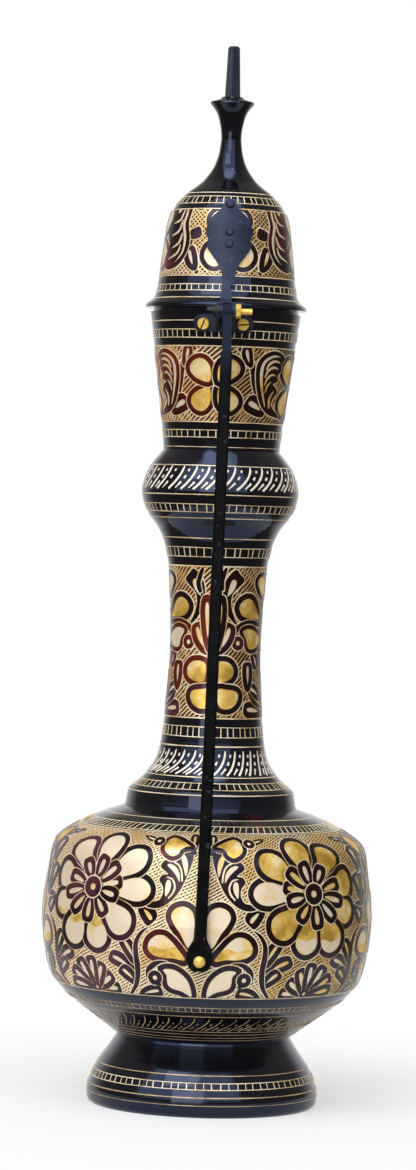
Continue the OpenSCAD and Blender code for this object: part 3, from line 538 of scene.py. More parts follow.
class Sheet:
    """One repeat of a band's drawing. What is drawn later lies on top.

    A shape goes in at each of the moves, mirrored where flip is -1, and with its mirror image where both is set.
    """

    def __init__(self, width, height, both=False):
        self.width, self.height, self.items = width, height, []
        self.moves, self.flip, self.both = (0,), 1, both

    def put(self, kind, poly):
        for dx in self.moves:
            for side in (1, -1) if self.both else (1,):
                self.items.append((kind, ccw(np.asarray(poly) * [side * self.flip, 1]) + [dx, 0]))

    def outlined(self, kind, poly, line=LINE_ROUND):
        """A shape with a bright line cut round it."""
        self.put("line", grown(poly, line))
        self.put(kind, poly)

    def cells(self, polys, rim, line, kind="dark", gold=(), halves=()):
        """Brass petals in dark rims and bright lines. gold lists golden ones, halves those with a golden part."""
        polys = [ccw(p) for p in polys]
        for p in polys:
            self.put("line", grown(p, rim + line))
            self.put(kind, grown(p, rim))
        for k, p in enumerate(polys):
            self.put("gold" if k in gold else "brass", p)
        for k, level, keep in halves:
            self.put("gold", part_of(polys[k], level, keep))

    def leaflet(self, base, tip, width, bend=0.0, drop=0.30, kind="dark"):
        """A dark leaf in a bright line, with a light drop in it as wide as drop times the leaf."""
        base, tip = np.array(base, float), np.array(tip, float)
        self.outlined(kind, leaf(base, tip, width * 1.2, bend, 0.66, 0.72))
        if not drop:
            return
        side = np.array([base[1] - tip[1], tip[0] - base[0]]) / np.hypot(*(tip - base))
        ends = [base + (tip - base) * t + side * bend * 4 * t * (1 - t) for t in (0.26, 0.87)]
        self.put("brass", leaf(*ends, width * drop, bend * 0.3, 0.7, n=9))

    def stem(self, points, width, tail=0.35, kind="dark"):
        self.outlined(kind, stroke(points, width, tail), 0.4)

    def flower(self, centre, petals, heart, gold, halves):
        """Broad petals round a heart of small ones, as (angle, reach, width) and (angle, reach)."""
        centre = np.array(centre, float)

        def ray(angle, r):
            return centre + r * np.array([cos(radians(angle)), sin(radians(angle))])

        self.cells([petal(centre, a, 9, r, w) for a, r, w in petals], 2.2, 0.4, gold=gold, halves=halves)
        for angle, r in heart:
            self.outlined("dark", leaf(ray(angle, 3.6), ray(angle, r + 0.4), 6.2, 0, 0.66, 0.8))
            self.put("brass", leaf(ray(angle, 5.2), ray(angle, r - 1.6), 2.1, 0, 0.66, 1.0, 9))
        for kind, r in (("line", 4.7), ("dark", 4.1), ("brass", 1.35)):
            self.put(kind, disc(centre, r))

    def head(self, centre, r, kind="dark"):
        """A bird's round head with a light eye."""
        for part, k in (("line", r + 0.6), (kind, r + 0.15), ("line", r * 0.34)):
            self.put(part, disc(centre, k, 16))

    def triangles(self, gap_x, gap_y):
        """The drawing as triangles with their kinds, cut so that what lies on top wins."""
        w, h = self.width / 2, self.height
        nx, ny = max(4, round(self.width / gap_x)), max(3, round(h / gap_y))
        xs, ys = np.linspace(-w, w, nx + 1), np.linspace(0, h, ny + 1)
        verts = [(x, 0) for x in xs] + [(w, y) for y in ys[1:]]
        verts += [(x, h) for x in xs[::-1][1:]] + [(-w, y) for y in ys[::-1][1:-1]]
        edges = [(k, (k + 1) % len(verts)) for k in range(len(verts))]
        shapes = []
        for kind, poly in self.items:
            for dx in (-self.width, 0, self.width):
                moved = poly + [dx, 0]
                if moved[:, 0].max() > -w and moved[:, 0].min() < w:
                    k, n = len(verts), len(moved)
                    edges += [(k + j, k + (j + 1) % n) for j in range(n)]
                    verts += [tuple(p) for p in moved]
                    shapes.append((kind, moved))
        verts += [(x, y) for x in xs[1:-1] for y in ys[1:-1]]
        got = delaunay_2d_cdt([Vector(v) for v in verts], edges, [], 0, 1e-4)
        points, tris = np.array([tuple(v) for v in got[0]]), np.array([tuple(f) for f in got[2]])
        mid = points[tris].mean(axis=1)
        kept = (abs(mid[:, 0]) < w) & (mid[:, 1] > 0) & (mid[:, 1] < h)
        tris, mid = tris[kept], mid[kept]
        top = np.zeros(len(tris), int)
        for kind, poly in shapes:
            low, high = poly.min(axis=0), poly.max(axis=0)
            near = np.where(((mid > low) & (mid < high)).all(axis=1))[0]
            top[near[inside(poly, mid[near])]] = KINDS.index(kind)
        return points.tolist(), tris.tolist(), [KINDS[k] for k in top]


CUT_RISE = 0.09  # mm; how far a cut line stands proud
DRAWING_FOOT, MARK_FOOT, RING_FOOT = -0.05, -0.03, -0.02  # mm; where the sides of raised work end in the wall
RING_PROFILE = ((-0.5, RING_FOOT), (-0.3, CUT_RISE), (0.3, CUT_RISE), (0.5, RING_FOOT))
LADDER_RING, TICK_WIDTH, MARK_END = 0.33, 0.36, 0.6
# Dashes between the long curved cuts: start and length as shares of the row, width and tail as shares of a cut's
DASHES = ((0.04, 0.26, 1.8, 0.2), (0.45, 0.13, 1.3, 0.8), (0.76, 0.11, 1.05, 0.9))


def eased(u):
    """The sideways share of a curved cut at the share u of its height."""
    return 1 - (1 - u) ** 1.9


class Relief(Wall):
    """Raised work on a wall: vertices, their normals and flat places, faces and their kinds."""

    def __init__(self, *names):
        super().__init__(*names)
        self.verts, self.normals, self.flat, self.faces, self.slots = [], [], [], [], []

    def vertex(self, theta, s, rise, flat=(0, 0)):
        co, normal = self.point(theta, s, rise)
        self.verts.append(co)
        self.normals.append(normal)
        self.flat.append(flat)
        return len(self.verts) - 1

    def face(self, corners, kind):
        self.faces.append(tuple(corners))
        self.slots.append(KINDS.index(kind))

    def wall_strip(self, path, rises, kind):
        """A narrow upright face under an edge: path is [(theta, s)], rises its (top, bottom)."""
        top, foot = rises
        for p, q in zip(path, path[1:]):
            corners = [self.point(*at, rise)[0] for at, rise in ((p, top), (q, top), (q, foot), (p, foot))]
            a, b, c, _ = map(Vector, corners)
            k = len(self.verts)
            self.verts += corners
            self.normals += [tuple((b - a).cross(c - a).normalized())] * 4
            self.flat += [(0, 0)] * 4
            self.face(range(k, k + 4), kind)

    def drawing(self, draw, z0, z1, spans, gap_x, gap_y):
        """Lays a drawing on the wall between two levels, once for each row of angles at even steps across."""
        s0 = self.up(z0)
        sheet = draw(self.up(z1) - s0)
        points, tris, kinds = sheet.triangles(gap_x, gap_y)
        edges = {}
        for tri, kind in zip(tris, kinds):
            for a, b in zip(tri, tri[1:] + tri[:1]):
                edges.setdefault((min(a, b), max(a, b)), []).append((kind, a, b))
        for angles in spans:
            knots = np.linspace(-sheet.width / 2, sheet.width / 2, len(angles))
            around = np.radians(np.interp([p[0] for p in points], knots, angles))

            def polar(i):
                return float(around[i]), s0 + points[i][1]

            made = {}
            for tri, kind in zip(tris, kinds):
                for i in tri:
                    if (i, kind) not in made:
                        made[i, kind] = self.vertex(*polar(i), RISE[kind], points[i])
                self.face([made[i, kind] for i in tri], kind)
            for sides in edges.values():
                (kind, a, b), *other = sorted(sides, key=lambda e: -RISE[e[0]])
                foot = RISE[other[0][0]] if other else DRAWING_FOOT
                low, high = sorted((points[a][1], points[b][1]))
                if RISE[kind] > foot and (other or high < 1e-3 or low > sheet.height - 1e-3):
                    self.wall_strip([polar(b), polar(a)], (RISE[kind], foot), kind)

    def ring(self, z, width, kind="line"):
        """A line cut round the wall at a level, a little uneven as hand work is."""
        s, phase = self.up(z), rng.uniform(0, 6.28)
        rows = []
        for t in turns(SEGMENTS):
            w = width * (1 + 0.18 * sin(5 * t + phase) + 0.1 * sin(13 * t + 2 * phase))
            off = 0.06 * sin(2 * t + phase)
            rows.append([self.vertex(t, s + off + share * w, up) for share, up in RING_PROFILE])
        for a, b in zip(rows, rows[1:] + rows[:1]):
            for j in range(len(RING_PROFILE) - 1):
                self.face((a[j], b[j], b[j + 1], a[j + 1]), kind)

    def rings(self, *rows, kind="line"):
        for z, width in rows:
            self.ring(z, width, kind)

    def mark(self, points, width, kind, tail=1.0):
        """A raised stroke along points of (theta, s), tail times its width at its start."""
        r = self.at(points[0][1])[0]
        flat = np.array([(t * r, s) for t, s in points])
        side = leftward(np.gradient(flat, axis=0))
        t = np.linspace(0, 1, len(flat))
        half = width / 2 * (tail + (1 - tail) * t)
        half[-1] *= MARK_END
        left = [(p[0] / r, p[1]) for p in flat + side * half[:, None]]
        right = [(p[0] / r, p[1]) for p in flat - side * half[:, None]]
        tops = [(self.vertex(*a, CUT_RISE), self.vertex(*b, CUT_RISE)) for a, b in zip(left, right)]
        for (a, b), (c, d) in zip(tops, tops[1:]):
            self.face((a, b, d, c), kind)
        self.wall_strip(left + right[::-1] + left[:1], (CUT_RISE, MARK_FOOT), kind)

    def ticks(self, z0, z1, count, lean, kind):
        """A row of short upright cuts between two levels."""
        s0, s1 = self.up(z0), self.up(z1)
        for k in range(count):
            t = 2 * pi * (k + rng.uniform(-0.16, 0.16)) / count
            dt = lean * (s1 - s0) / self.at(s0)[0] + rng.uniform(-0.004, 0.004)
            path = [(t + dt * u, s0 + (s1 - s0) * u) for u in np.linspace(0, 1, 5)]
            self.mark(path, TICK_WIDTH * rng.uniform(0.75, 1.2), kind)

    def ladder(self, z0, z1, count, lean=0.0, kind="line"):
        """Two lines round the wall with a row of cuts between them."""
        self.ring(z0, LADDER_RING, kind)
        self.ring(z1, LADDER_RING, kind)
        self.ticks(z0, z1, count, lean, kind)

    def commas(self, z0, z1, count, sweep, drift, dots=3, full=0.85, kind="white"):
        """A row of long curved cuts with short dashes between them."""
        s0, s1 = self.up(z0), self.up(z1)
        for k in range(count):
            t0 = 2 * pi * (k + rng.uniform(-0.1, 0.1)) / count
            bend = sweep * (1 + drift * sin(t0))

            def path(t, shares):
                return [(t + bend * eased(u), s0 + (s1 - s0) * u) for u in shares]

            self.mark(path(t0, np.linspace(0, 1, 8)), full, kind)
            for begin, size, wide, tail in DASHES[:dots]:
                self.mark(path(t0 + pi / count, (begin, begin + size)), wide * full, kind, tail)

    def done(self, name, body, ground="hatch"):
        """Makes the piece. ground names the look of the hatched faces."""
        mesh = bpy.data.meshes.new(name)
        mesh.from_pydata(self.verts, [], self.faces)
        for kind in [ground] + KINDS[1:]:
            mesh.materials.append(MAT[kind])
        mesh.polygons.foreach_set("material_index", self.slots)
        layer = mesh.uv_layers.new(name="flat")
        index = np.zeros(len(mesh.loops), int)
        mesh.loops.foreach_get("vertex_index", index)
        layer.data.foreach_set("uv", np.array(self.flat, np.float32)[index].ravel())
        mesh.shade_smooth()
        mesh.normals_split_custom_set_from_vertices(self.normals)
        finish_piece(name, mesh, body)


VESSEL = ["foot", "lower_bowl", "upper_bowl", "shoulder_collar", "neck", "knop", "mouth_cup", "mouth_ring"]
LID = ["lid_dome", "finial"]
LOOPS = {part: lathe(part, "lid" if part in LID else "vessel") for part in VESSEL + LID}


# Belly: four great flowers with birds, a half lotus and leaf sprays between them
PETALS = (
    (1, 27.2, 9.2), (31, 28.2, 9.4), (71, 23.8, 11), (120, 20.6, 11.5), (168, 21.5, 10.5), (205, 22.5, 9.5),
    (244, 25.2, 11), (281, 23.8, 10.6), (320, 24.2, 11),
)
HEART = (
    (12, 14.4), (38, 15.4), (68, 13.4), (113, 11.6), (164, 13.6), (194, 15.2), (226, 14.4), (263, 13.6), (305, 12.8),
    (347, 13.0),
)
FLOWER, FAN = (-47.65, 41), (-47, 0.8)
REPEAT = 95.3  # half of the sheet's width
SPRAY = [
    (-24, 36.3), (-20, 34.8), (-16, 35.2), (-12, 37.8), (-9, 41.4), (-6.6, 46.2), (-4.9, 51), (-3.9, 55.6),
    (-5.4, 57.8), (-8.4, 58.2), (-10.6, 57), (-10.1, 54.6), (-11.2, 53.4), (-13.4, 53.9), (-15.9, 53), (-17, 50.8),
    (-14.8, 49), (-13.8, 48), (-16.1, 47.6), (-17.3, 45.6), (-15.7, 43.4), (-15.4, 40.6), (-16.8, 37.9), (-20, 37.1),
]


def draw_belly(height):
    """Two flowers with all that lies between them. The same motif stands twice, REPEAT apart."""
    s = Sheet(2 * REPEAT, height, both=True)
    s.moves = (0, REPEAT)
    s.leaflet((-26.6, 10.2), (-38, 15.4), 5.2, -0.6)
    s.leaflet((-26.2, 12.6), (-31.8, 22.4), 4.8, -0.8)
    s.leaflet((-25.8, 4.4), (-33.2, 10.8), 4.8, -0.6)
    s.leaflet((-26, -0.8), (-15.2, 2.4), 4.6, 0.8)
    stalk = [(-30, -0.4), (-26.6, 4), (-25.4, 8), (-25.2, 12), (-25.8, 17), (-25.6, 21.4), (-23.6, 25), (-20.6, 27.4)]
    s.stem(stalk, 2.3)
    s.leaflet((-24.8, 35.4), (-18.8, 29.2), 5.6, 0.7)
    s.outlined("dark", blob(SPRAY, 3))
    s.put("brass", leaf((-14.3, 39.4), (-13.4, 45.9), 2.3, -0.3, 0.66, n=9))
    s.put("brass", leaf((-9.1, 45.2), (-14.2, 51.9), 2.1, -1.3, 0.66, n=9))
    s.put("brass", leaf((-6.6, 47.4), (-8.5, 56), 2.2, -0.6, 0.66, n=9))
    s.put("line", stroke([(-13.2, 38.8), (-11.4, 41), (-10.8, 43.6), (-12, 46.2), (-14.6, 47)], 0.75, 0.8))
    s.put("line", stroke([(-8, 45.4), (-8.4, 49), (-9.6, 51.6), (-12, 53)], 0.75, 0.8))
    lotus = [
        [
            (-4.8, 20.2), (-7.8, 25.5), (-10.2, 28.8), (-11.6, 32), (-10.3, 34.8), (-7, 36), (-3.8, 34.6), (-2.5, 31.5),
            (-2.4, 27), (-3, 22),
        ],
        [
            (-5.7, 15.4), (-9.7, 20.8), (-11.8, 23), (-14.3, 24.6), (-17.3, 24.4), (-19.8, 22.4), (-20.7, 20),
            (-20.3, 18.2), (-18.2, 16.6), (-14.8, 15.8), (-10.6, 15.8),
        ],
    ]
    s.cells([blob(p) for p in lotus], 2.2, 0.5, kind="wine", halves=[(1, 19.6, -1)])
    low_bird = [
        (-14.6, 11.1), (-11.2, 11.6), (-7.8, 10.2), (-4.9, 7.4), (-3.4, 3.8), (-3.1, 0.2), (-4.6, 0.9), (-7, 2.4),
        (-10.8, 3.5), (-12.6, 4.8), (-13.1, 7), (-13.2, 9),
    ]
    s.stem([(-20.8, 7.6), (-20.4, 11), (-17.2, 13.4), (-12, 13.6)], 2.2, tail=0.9)
    s.cells([blob(low_bird)], 2.1, 0.5)
    s.head((-18, 7.7), 2.8)
    s.put("dark", leaf((-18.6, 6.4), (-15.4, 4.6), 1.8, 0, 0.4))
    s.leaflet((-3.4, 58), (-4.2, 67.6), 3.4, 0.4)
    top_bird = [
        (-15.8, 63.5), (-13.7, 64.8), (-10.7, 63.7), (-7.8, 61.8), (-5.4, 59.7), (-6.9, 58.9), (-9.3, 58.2),
        (-10.2, 56.2), (-12.6, 55), (-15.3, 56.3), (-16.7, 58.4), (-16.6, 61),
    ]
    s.cells([blob(top_bird)], 1.8, 0.45, kind="wine", gold=(0,))
    s.put("dark", stroke([(-3.2, 56), (-4.4, 58.2), (-7, 58.6), (-9.8, 56.4)], 2.2, 0.6))
    s.put("dark", leaf((-22, 62.6), (-28.4, 65), 2.8, 0, 0.3))
    s.put("line", leaf((-22.8, 62.9), (-27, 64.4), 1.0, 0, 0.3))
    s.head((-20.2, 62.2), 2.5)
    s.moves = (REPEAT,)
    s.leaflet((-18.2, 37.4), (-22.2, 47.8), 6.0, -1.2, drop=0.34)
    s.leaflet((-17.4, 48.2), (-23.4, 58.4), 5.8, -1.4, drop=0.34)
    s.moves = (0,)
    for a, r in ((6, 13), (34, 12), (66, 12.4), (94, 13.6), (122, 14.2), (149, 14.4), (173, 14.2)):
        across, up = cos(radians(a)), sin(radians(a))
        s.leaflet((FAN[0] + 1.2 * across, FAN[1]), (FAN[0] + r * across, FAN[1] + r * up), 5.0, 0, drop=0.38)
    s.put("dark", disc((-47, 1.4), 2.0))
    s.put("line", disc((-47, 1.4), 0.8))
    s.both = False
    s.flower(FLOWER, PETALS, HEART, (), [(5, 31, -1), (6, 26.6, 1), (7, 26.2, 1)])
    s.flip = -1
    s.flower(FLOWER, PETALS, HEART, (1, 2, 3, 4, 5, 8), [(6, 22.6, 1), (7, 23.4, 1)])
    return s


belly = Relief("lower_bowl", "upper_bowl")
LEFT_FLOWER, RIGHT_FLOWER = -44.6, 38.6  # degrees round from the handle
HALF = (360 - RIGHT_FLOWER + LEFT_FLOWER) / 6
MIDDLE = (LEFT_FLOWER + RIGHT_FLOWER) / 2
FRONT = [LEFT_FLOWER - HALF, LEFT_FLOWER, MIDDLE, RIGHT_FLOWER, RIGHT_FLOWER + HALF]
BACK = [RIGHT_FLOWER + HALF * k for k in range(1, 6)]
belly.drawing(draw_belly, 48.8, 110.7, [FRONT, BACK], 2.0, 1.3)
belly.rings((48.4, 0.5), (111.0, 0.45))
belly.ladder(111.5, 113.6, 118, 0.3)
belly.ring(115.6, 0.4)
# The low band's cuts take the dull look: painted shade, as this part faces down.
belly.ladder(42.4, 44.2, 130, kind="dull")
belly.ring(40.2, 0.45, kind="dull")
belly.commas(33.8, 39.2, 62, 0.13, 0.2, 2, 0.38, "dull")
belly.rings((33.2, 0.35), (31.9, 0.3), (30.5, 0.3), (29.3, 0.3), kind="dull")
belly.done("belly_engraving", "vessel")


# Neck: birds over a four-petalled flower, twice round
def draw_neck(height):
    """Half of the neck's round, its left side maroon where the right one is dark."""
    s = Sheet(59.7, height, both=True)
    s.leaflet((29.8, 26), (29.8, 42), 6.0)
    s.leaflet((29.8, 3), (29.8, 18), 6.0)
    s.both = False
    rose = [(20, 53.4), (21.6, 55.4), (25, 55.8), (28, 54.2), (29.4, 51), (28, 48.4), (25, 48), (22, 50.2)]
    comma = [
        (10.7, 43.4), (12, 45.8), (14.5, 47), (17.2, 46.4), (19.8, 44), (22, 41.2), (24.4, 38.9), (20, 39), (15, 39.3),
        (12, 40.6),
    ]
    bird = [
        (13.2, 33.8), (15.4, 34.9), (18.6, 34.8), (22.4, 33.2), (26.4, 31), (24, 28.4), (19.4, 27), (16.4, 27.4),
        (15.2, 30.6),
    ]
    paisley = [
        (3.6, 50), (4.8, 54.6), (8.2, 58.4), (10.2, 56.8), (12.4, 54.2), (10, 51.4), (7.8, 49.2), (7, 46), (7.8, 41.6),
        (10.2, 36.6), (7.2, 38.6), (5, 42.4), (3.8, 46),
    ]
    high = [(1.6, 20.6), (3.4, 22), (6.8, 22), (9.2, 20.4), (10, 18), (9, 15.6), (6, 14), (2.6, 13.9), (1.5, 16.6)]
    low = [(1.4, 11), (5, 11), (8.7, 10.4), (10, 8.6), (9.2, 5.8), (7, 3.8), (4.6, 3.2), (2.2, 4), (1.2, 7)]
    for s.flip, kind, gold in ((1, "dark", (0,)), (-1, "red", ())):
        s.cells([blob(rose)], 1.9, 0.45, gold=gold)
        s.leaflet((18.4, 26), (22.4, 19.4), 4.6, 0.6, kind=kind)
        s.leaflet((25.6, 6.6), (16.2, 11.8), 4.6, -0.8)
        s.leaflet((26.6, 1.6), (13.6, 3.2), 5.6, -0.4, 0.32)
        s.stem([(27, 3.4), (21.6, 5.2), (18, 7.6), (16.4, 11)], 1.8)
        s.leaflet((15.9, 10), (16, 22), 5.0, -0.3, 0.3, kind)
        s.outlined("dark", blob(paisley, 3))
        s.put("brass", leaf((5.3, 47.6), (8.2, 54.4), 2.5, -0.3, 0.7, n=9))
        curl = [(5.4, 49), (6.4, 53), (4.4, 59.2)] if s.flip < 0 else [(3.2, 50), (3, 54), (4.6, 59.2)]
        s.stem(curl, 1.9, 0.7)
        s.cells([blob(comma)], 2.2, 0.45, gold=(0,))
        s.stem([(8.4, 30), (9.2, 33.6), (12.4, 36.5), (18, 37.5), (26, 36.2)], 2.2, 0.9, kind)
        s.cells([blob(bird)], 1.7, 0.4, kind, gold)
        s.head((10.9, 29.3), 2.7, kind)
        s.leaflet((2.0, 24.6), (7.2, 37.2), 5.4, -0.9, 0.34, kind)
        s.leaflet((1.4, 25), (2.6, 48.4), 4.8, -0.5, 0.34, kind)
    for s.flip, kind, up, down in ((-1, "red", 1.0, -1.3), (1, "dark", -0.8, 1.3)):
        s.cells([blob([(x + up, y) for x, y in high])], 2.1, 0.45, kind, (0,))
        s.cells([blob([(x + down, y) for x, y in low])], 2.1, 0.45, gold=(0,))
    s.put("dark", leaf((0.6, 4), (0.6, -0.6), 3.4))
    return s


neck = Relief("neck")
neck.drawing(draw_neck, 154.6, 213.6, [(-94.5, 85.5), (85.5, 265.5)], 1.7, 2.2)
neck.rings((154.1, 0.55), (213.9, 0.55), (143.0, 0.5), (131.2, 0.45))
neck.ladder(146.7, 150.6, 46)
neck.ladder(126.6, 129.0, 64)
neck.commas(132.0, 141.4, 30, 0.22, -0.5)
neck.done("neck_engraving", "vessel", "coarse")

collar = Relief("shoulder_collar")
collar.ring(124.6, 0.4)
collar.done("collar_line", "vessel")

knop = Relief("neck", "knop")
knop.ladder(217.6, 221.2, 44)
for z in (224.9, 232.8, 242.0, 253.4):
    knop.ring(z, 0.42)
knop.ladder(235.2, 238.2, 62)
knop.commas(244.0, 253.0, 34, 0.2, 0.1)
knop.done("knop_engraving", "vessel")


# Cup: four-petalled flowers with tall plumes between them
FOIL = ((0.17, 0.06), (0.16, 0.62), (0.42, 0.94), (0.74, 0.92), (0.98, 0.66), (0.92, 0.36), (0.56, 0.10))


def quatrefoil(s, x, y, wide, tall, kinds, upper=1.0, gold=()):
    """Four petals round a middle, the upper pair smaller by a share."""
    for up, size in ((-1, 1), (1, upper)):
        for side, kind in zip((-1, 1), kinds):
            shape = [(x + side * wide * size * a, y + up * tall * size * (b + 0.08)) for a, b in FOIL]
            s.cells([blob(shape)], 1.9, 0.4, kind, gold)


def plume(s, outline, strokes, kind):
    """A dark feather with a bright line round it and light strokes in it."""
    s.outlined(kind, blob(outline), 0.5)
    for width, path in strokes:
        s.put("brass", stroke(path, width))


CUP_PLUME = [
    (33, 2.2), (25, 3.2), (20.4, 6.6), (18, 12), (16.8, 18), (17, 23), (19.6, 26.6), (24, 28.4), (28.6, 27.6),
    (31.4, 25.4), (29.4, 23.4), (29.6, 20.4), (27.8, 19), (28, 16.4), (25.4, 15.4), (27.6, 14), (28.6, 12), (26.4, 9),
    (26.4, 6.4),
]
CUP_STROKES = [
    (1.5, [(22.6, 6.2), (20.2, 13), (19.2, 19.4), (20.2, 23.8), (24, 26.2), (28.4, 26.2)]),
    (1.3, [(21.2, 20.6), (22.6, 23.2), (25.4, 24.4), (28.6, 23.8)]),
    (1.2, [(20.9, 17.6), (22.4, 20.6), (25, 21.9), (28, 21.3)]),
    (1.1, [(21.1, 14.6), (22.3, 17.4), (24.4, 19), (26.8, 18.6)]),
    (1.0, [(21.8, 11.6), (22.6, 14.4), (24.6, 16.4)]),
    (1.4, [(25, 5.6), (24.6, 9.6), (26.8, 12.8)]),
]


def draw_cup(height):
    """Half of the cup's round: a flower with a plume on each side."""
    s = Sheet(81.68, height)
    quatrefoil(s, 41.2, 14.2, 10.6, 10.6, ("dark", "red"), gold=(0,))
    for flip, shift, kind in ((1, 0, "dark"), (-1, 2.4, "red")):
        def at(points):
            return [(flip * (x - shift), y) for x, y in points]

        s.stem(at([(9.4, 29), (13.6, 25), (15.6, 20), (16.6, 15), (19, 9), (23, 4.6)]), 2.4, 0.7, kind)
        s.leaflet(*at([(14.6, 21.4), (12.2, 29.6)]), 3.6, 0.5 * flip, 0.36, kind)
        s.leaflet(*at([(22.6, 3.0), (13.4, 8.2)]), 6.4, -0.6 * flip, 0.34, kind)
        plume(s, at(CUP_PLUME), [(w, at(p)) for w, p in CUP_STROKES], kind)
    quatrefoil(s, 0.4, 14.2, 10.0, 10.0, ("red", "dark"), gold=(0,))
    return s


cup = Relief("mouth_cup")
cup.drawing(draw_cup, 271.0, 299.8, [(-100, 80), (80, 260)], 1.7, 2.2)
cup.rings((270.6, 0.5), (300.2, 0.5), (310.1, 0.4), (260.8, 0.25))
cup.ladder(303.4, 306.6, 60)
cup.ladder(264.6, 267.4, 50)
cup.done("cup_engraving", "vessel", "coarse")


# Lid: flowers and plumes again
LID_PLUME = [
    (19.4, 32.4), (17.2, 26), (17.8, 20.4), (16.4, 14), (17.2, 9), (20.6, 4), (26, 2), (31, 3.6), (30.6, 8), (28.4, 12),
    (30.6, 16), (30, 20), (28.4, 23), (30, 27), (28, 31.6), (23, 32),
]
LID_STROKES = [
    (1.5, [(22, 31.4), (19.6, 25), (20.2, 20), (18.8, 14), (19.6, 8.6), (23.4, 4.4)]),
    (1.2, [(22.6, 28.4), (25.2, 25), (26.4, 29.6)]),
    (1.3, [(21.4, 27), (22.8, 22), (27.4, 20.4)]),
    (1.3, [(21.2, 22), (22.8, 17.4), (28, 15.4)]),
    (1.3, [(20.6, 16.6), (22, 12.6), (26.6, 10.4)]),
    (1.2, [(20.8, 12), (22.6, 8.4), (28.6, 6)]),
]


def draw_lid(height):
    """Half of the lid's round. The front flower's upper petals are smaller, under the strap."""
    s = Sheet(78.54, height)
    quatrefoil(s, 39.27, 15.4, 9.6, 11.4, ("dark", "dark"))
    for s.flip in (-1, 1):
        s.leaflet((11.2, 26.4), (20.8, 33.2), 6.2, 0.5, 0.34)
        s.stem([(11.6, 0.4), (14.8, 5), (16.2, 10), (15.4, 15)], 2.0, 0.7)
        s.leaflet((12.6, 1.4), (16.4, 11), 5.0, -0.5, 0.3)
        s.leaflet((17.4, 15.4), (11.4, 17.4), 3.8, 0.4, 0.0)
        plume(s, LID_PLUME, LID_STROKES, "wine")
    quatrefoil(s, 0, 15.4, 9.6, 11.8, ("dark", "dark"), 0.82)
    return s


dome = Relief("lid_dome")
dome.drawing(draw_lid, 328.2, 353.9, [(-90, 90), (90, 270)], 1.7, 2.0)
dome.rings((327.8, 0.45), (354.2, 0.45), (319.2, 0.4), (361.0, 0.4))
dome.ladder(321.9, 324.4, 60)
dome.ladder(356.6, 359.4, 46)
dome.done("lid_engraving", "lid", "crossed")

foot = Relief("foot")
# The foot's rings take the dull look: painted shade.
foot.rings((16.1, 0.4), (7.9, 0.45), (4.8, 0.25), kind="dull")
foot.ladder(10.9, 13.4, 84)
foot.done("foot_engraving", "vessel")


# Looks of the CAD nodes, which keep their shape apart from the turned ones that a skin replaces
NODE_LOOKS = {
    "iron": ["hinge_bracket", "lid_strap", "strap_rivets", "finial_spike"],
    "bar": ["handle_tongue", "handle_bar"],
    "skin": VESSEL + LID,
    "bolt": ["hinge_bolt"],
}
for name, obj in NODES.items():
    look = next((kind for kind, group in NODE_LOOKS.items() if name in group), "bare")
    obj.data.materials.clear()
    obj.data.materials.append(MAT[look])


SLOT_DEEP = (0.4, 0.8)  # mm below the head's face


def paint_slot_shade(mesh):
    """Paints shade into the screws' slots: a darker brass than on the heads they are cut in."""
    mesh.materials.append(MAT["slot_shade"])
    for side in (-1, 1):
        faces = [p for p in mesh.polygons if p.center.x * side > 0]
        out = max((p for p in faces if p.normal.y < -0.5), key=lambda p: p.area).normal.copy()
        depth = {i: mesh.vertices[i].co.dot(out) / MM for p in faces for i in p.vertices}
        front = max(depth.values())
        for p in faces:
            deep = [front - depth[i] for i in p.vertices]
            if SLOT_DEEP[0] < max(deep) < SLOT_DEEP[1]:
                p.material_index = 1


paint_slot_shade(NODES["bracket_screws"].data)


# Stage: pale floor, soft light and the photograph's view
WHITE = (1, 1, 1)
FLOOR_RINGS, FLOOR_STEP, FLOOR_SIDES = 11, 0.03, 96
FLOOR_PALE, FLOOR_BOUNCE = (0.9, 0.9, 0.9), (0.5, 0.5, 0.5)
SHADOW_FROM, SHADOW_TO, SHADOW_SHARE = 0.06, 0.29, 0.45
WINDOW_LEFT, WINDOW_RIGHT, WINDOW_SILL = (-75, -68), (38, 43), (0.18, 0.34)  # degrees, degrees, height
ROOM_LOW, ROOM_HIGH = (0.20, 0.15, 0.10), (0.34, 0.30, 0.24)
SKY_LOW, SKY_HIGH = (1.5, 1.56, 1.7), (1.6, 1.72, 2.0)
EYE_AWAY, EYE_UP = 1.7, 0.240  # metres
EYE_TURN, AIM_TURN, PITCH, ROLL, VIEW_HIGH = map(radians, (1.0, 0.1246, 1.14, 1.8, 15.58))
SENSOR = 36.0


def stage_floor():
    """A round white floor with the object's shadow near its middle."""
    rings = [FLOOR_STEP * i for i in range(FLOOR_RINGS)]
    verts = [(r * sin(t), r * cos(t), 0) for r in rings for t in turns(FLOOR_SIDES)]
    mesh = bpy.data.meshes.new("floor")
    mesh.from_pydata(verts, [], bands(FLOOR_RINGS, FLOOR_SIDES))
    obj = link("floor", mesh)
    mat = bpy.data.materials.new("pale_floor")
    floor = Nodes(mat)
    spread = floor.add("VectorMath", {0: floor.place()}, 1, operation="LENGTH")
    shade = floor.step(spread, SHADOW_FROM, SHADOW_TO, SHADOW_SHARE, 0.0)
    plain = floor.add("Emission", {"Strength": 1.0})
    shown = floor.add("MixShader", {0: shade, 1: plain, 2: floor.add("BsdfDiffuse", {"Color": FLOOR_PALE})})
    rays = floor.add("LightPath", out=None)
    seen = floor.maths("MAXIMUM", rays["Is Camera Ray"], rays["Is Glossy Ray"])
    seen = floor.maths("MAXIMUM", seen, rays["Is Transmission Ray"])
    bounce = floor.add("BsdfDiffuse", {"Color": FLOOR_BOUNCE})
    floor.feed(floor.out, floor.add("MixShader", {0: seen, 1: bounce, 2: shown}))
    mesh.materials.append(mat)


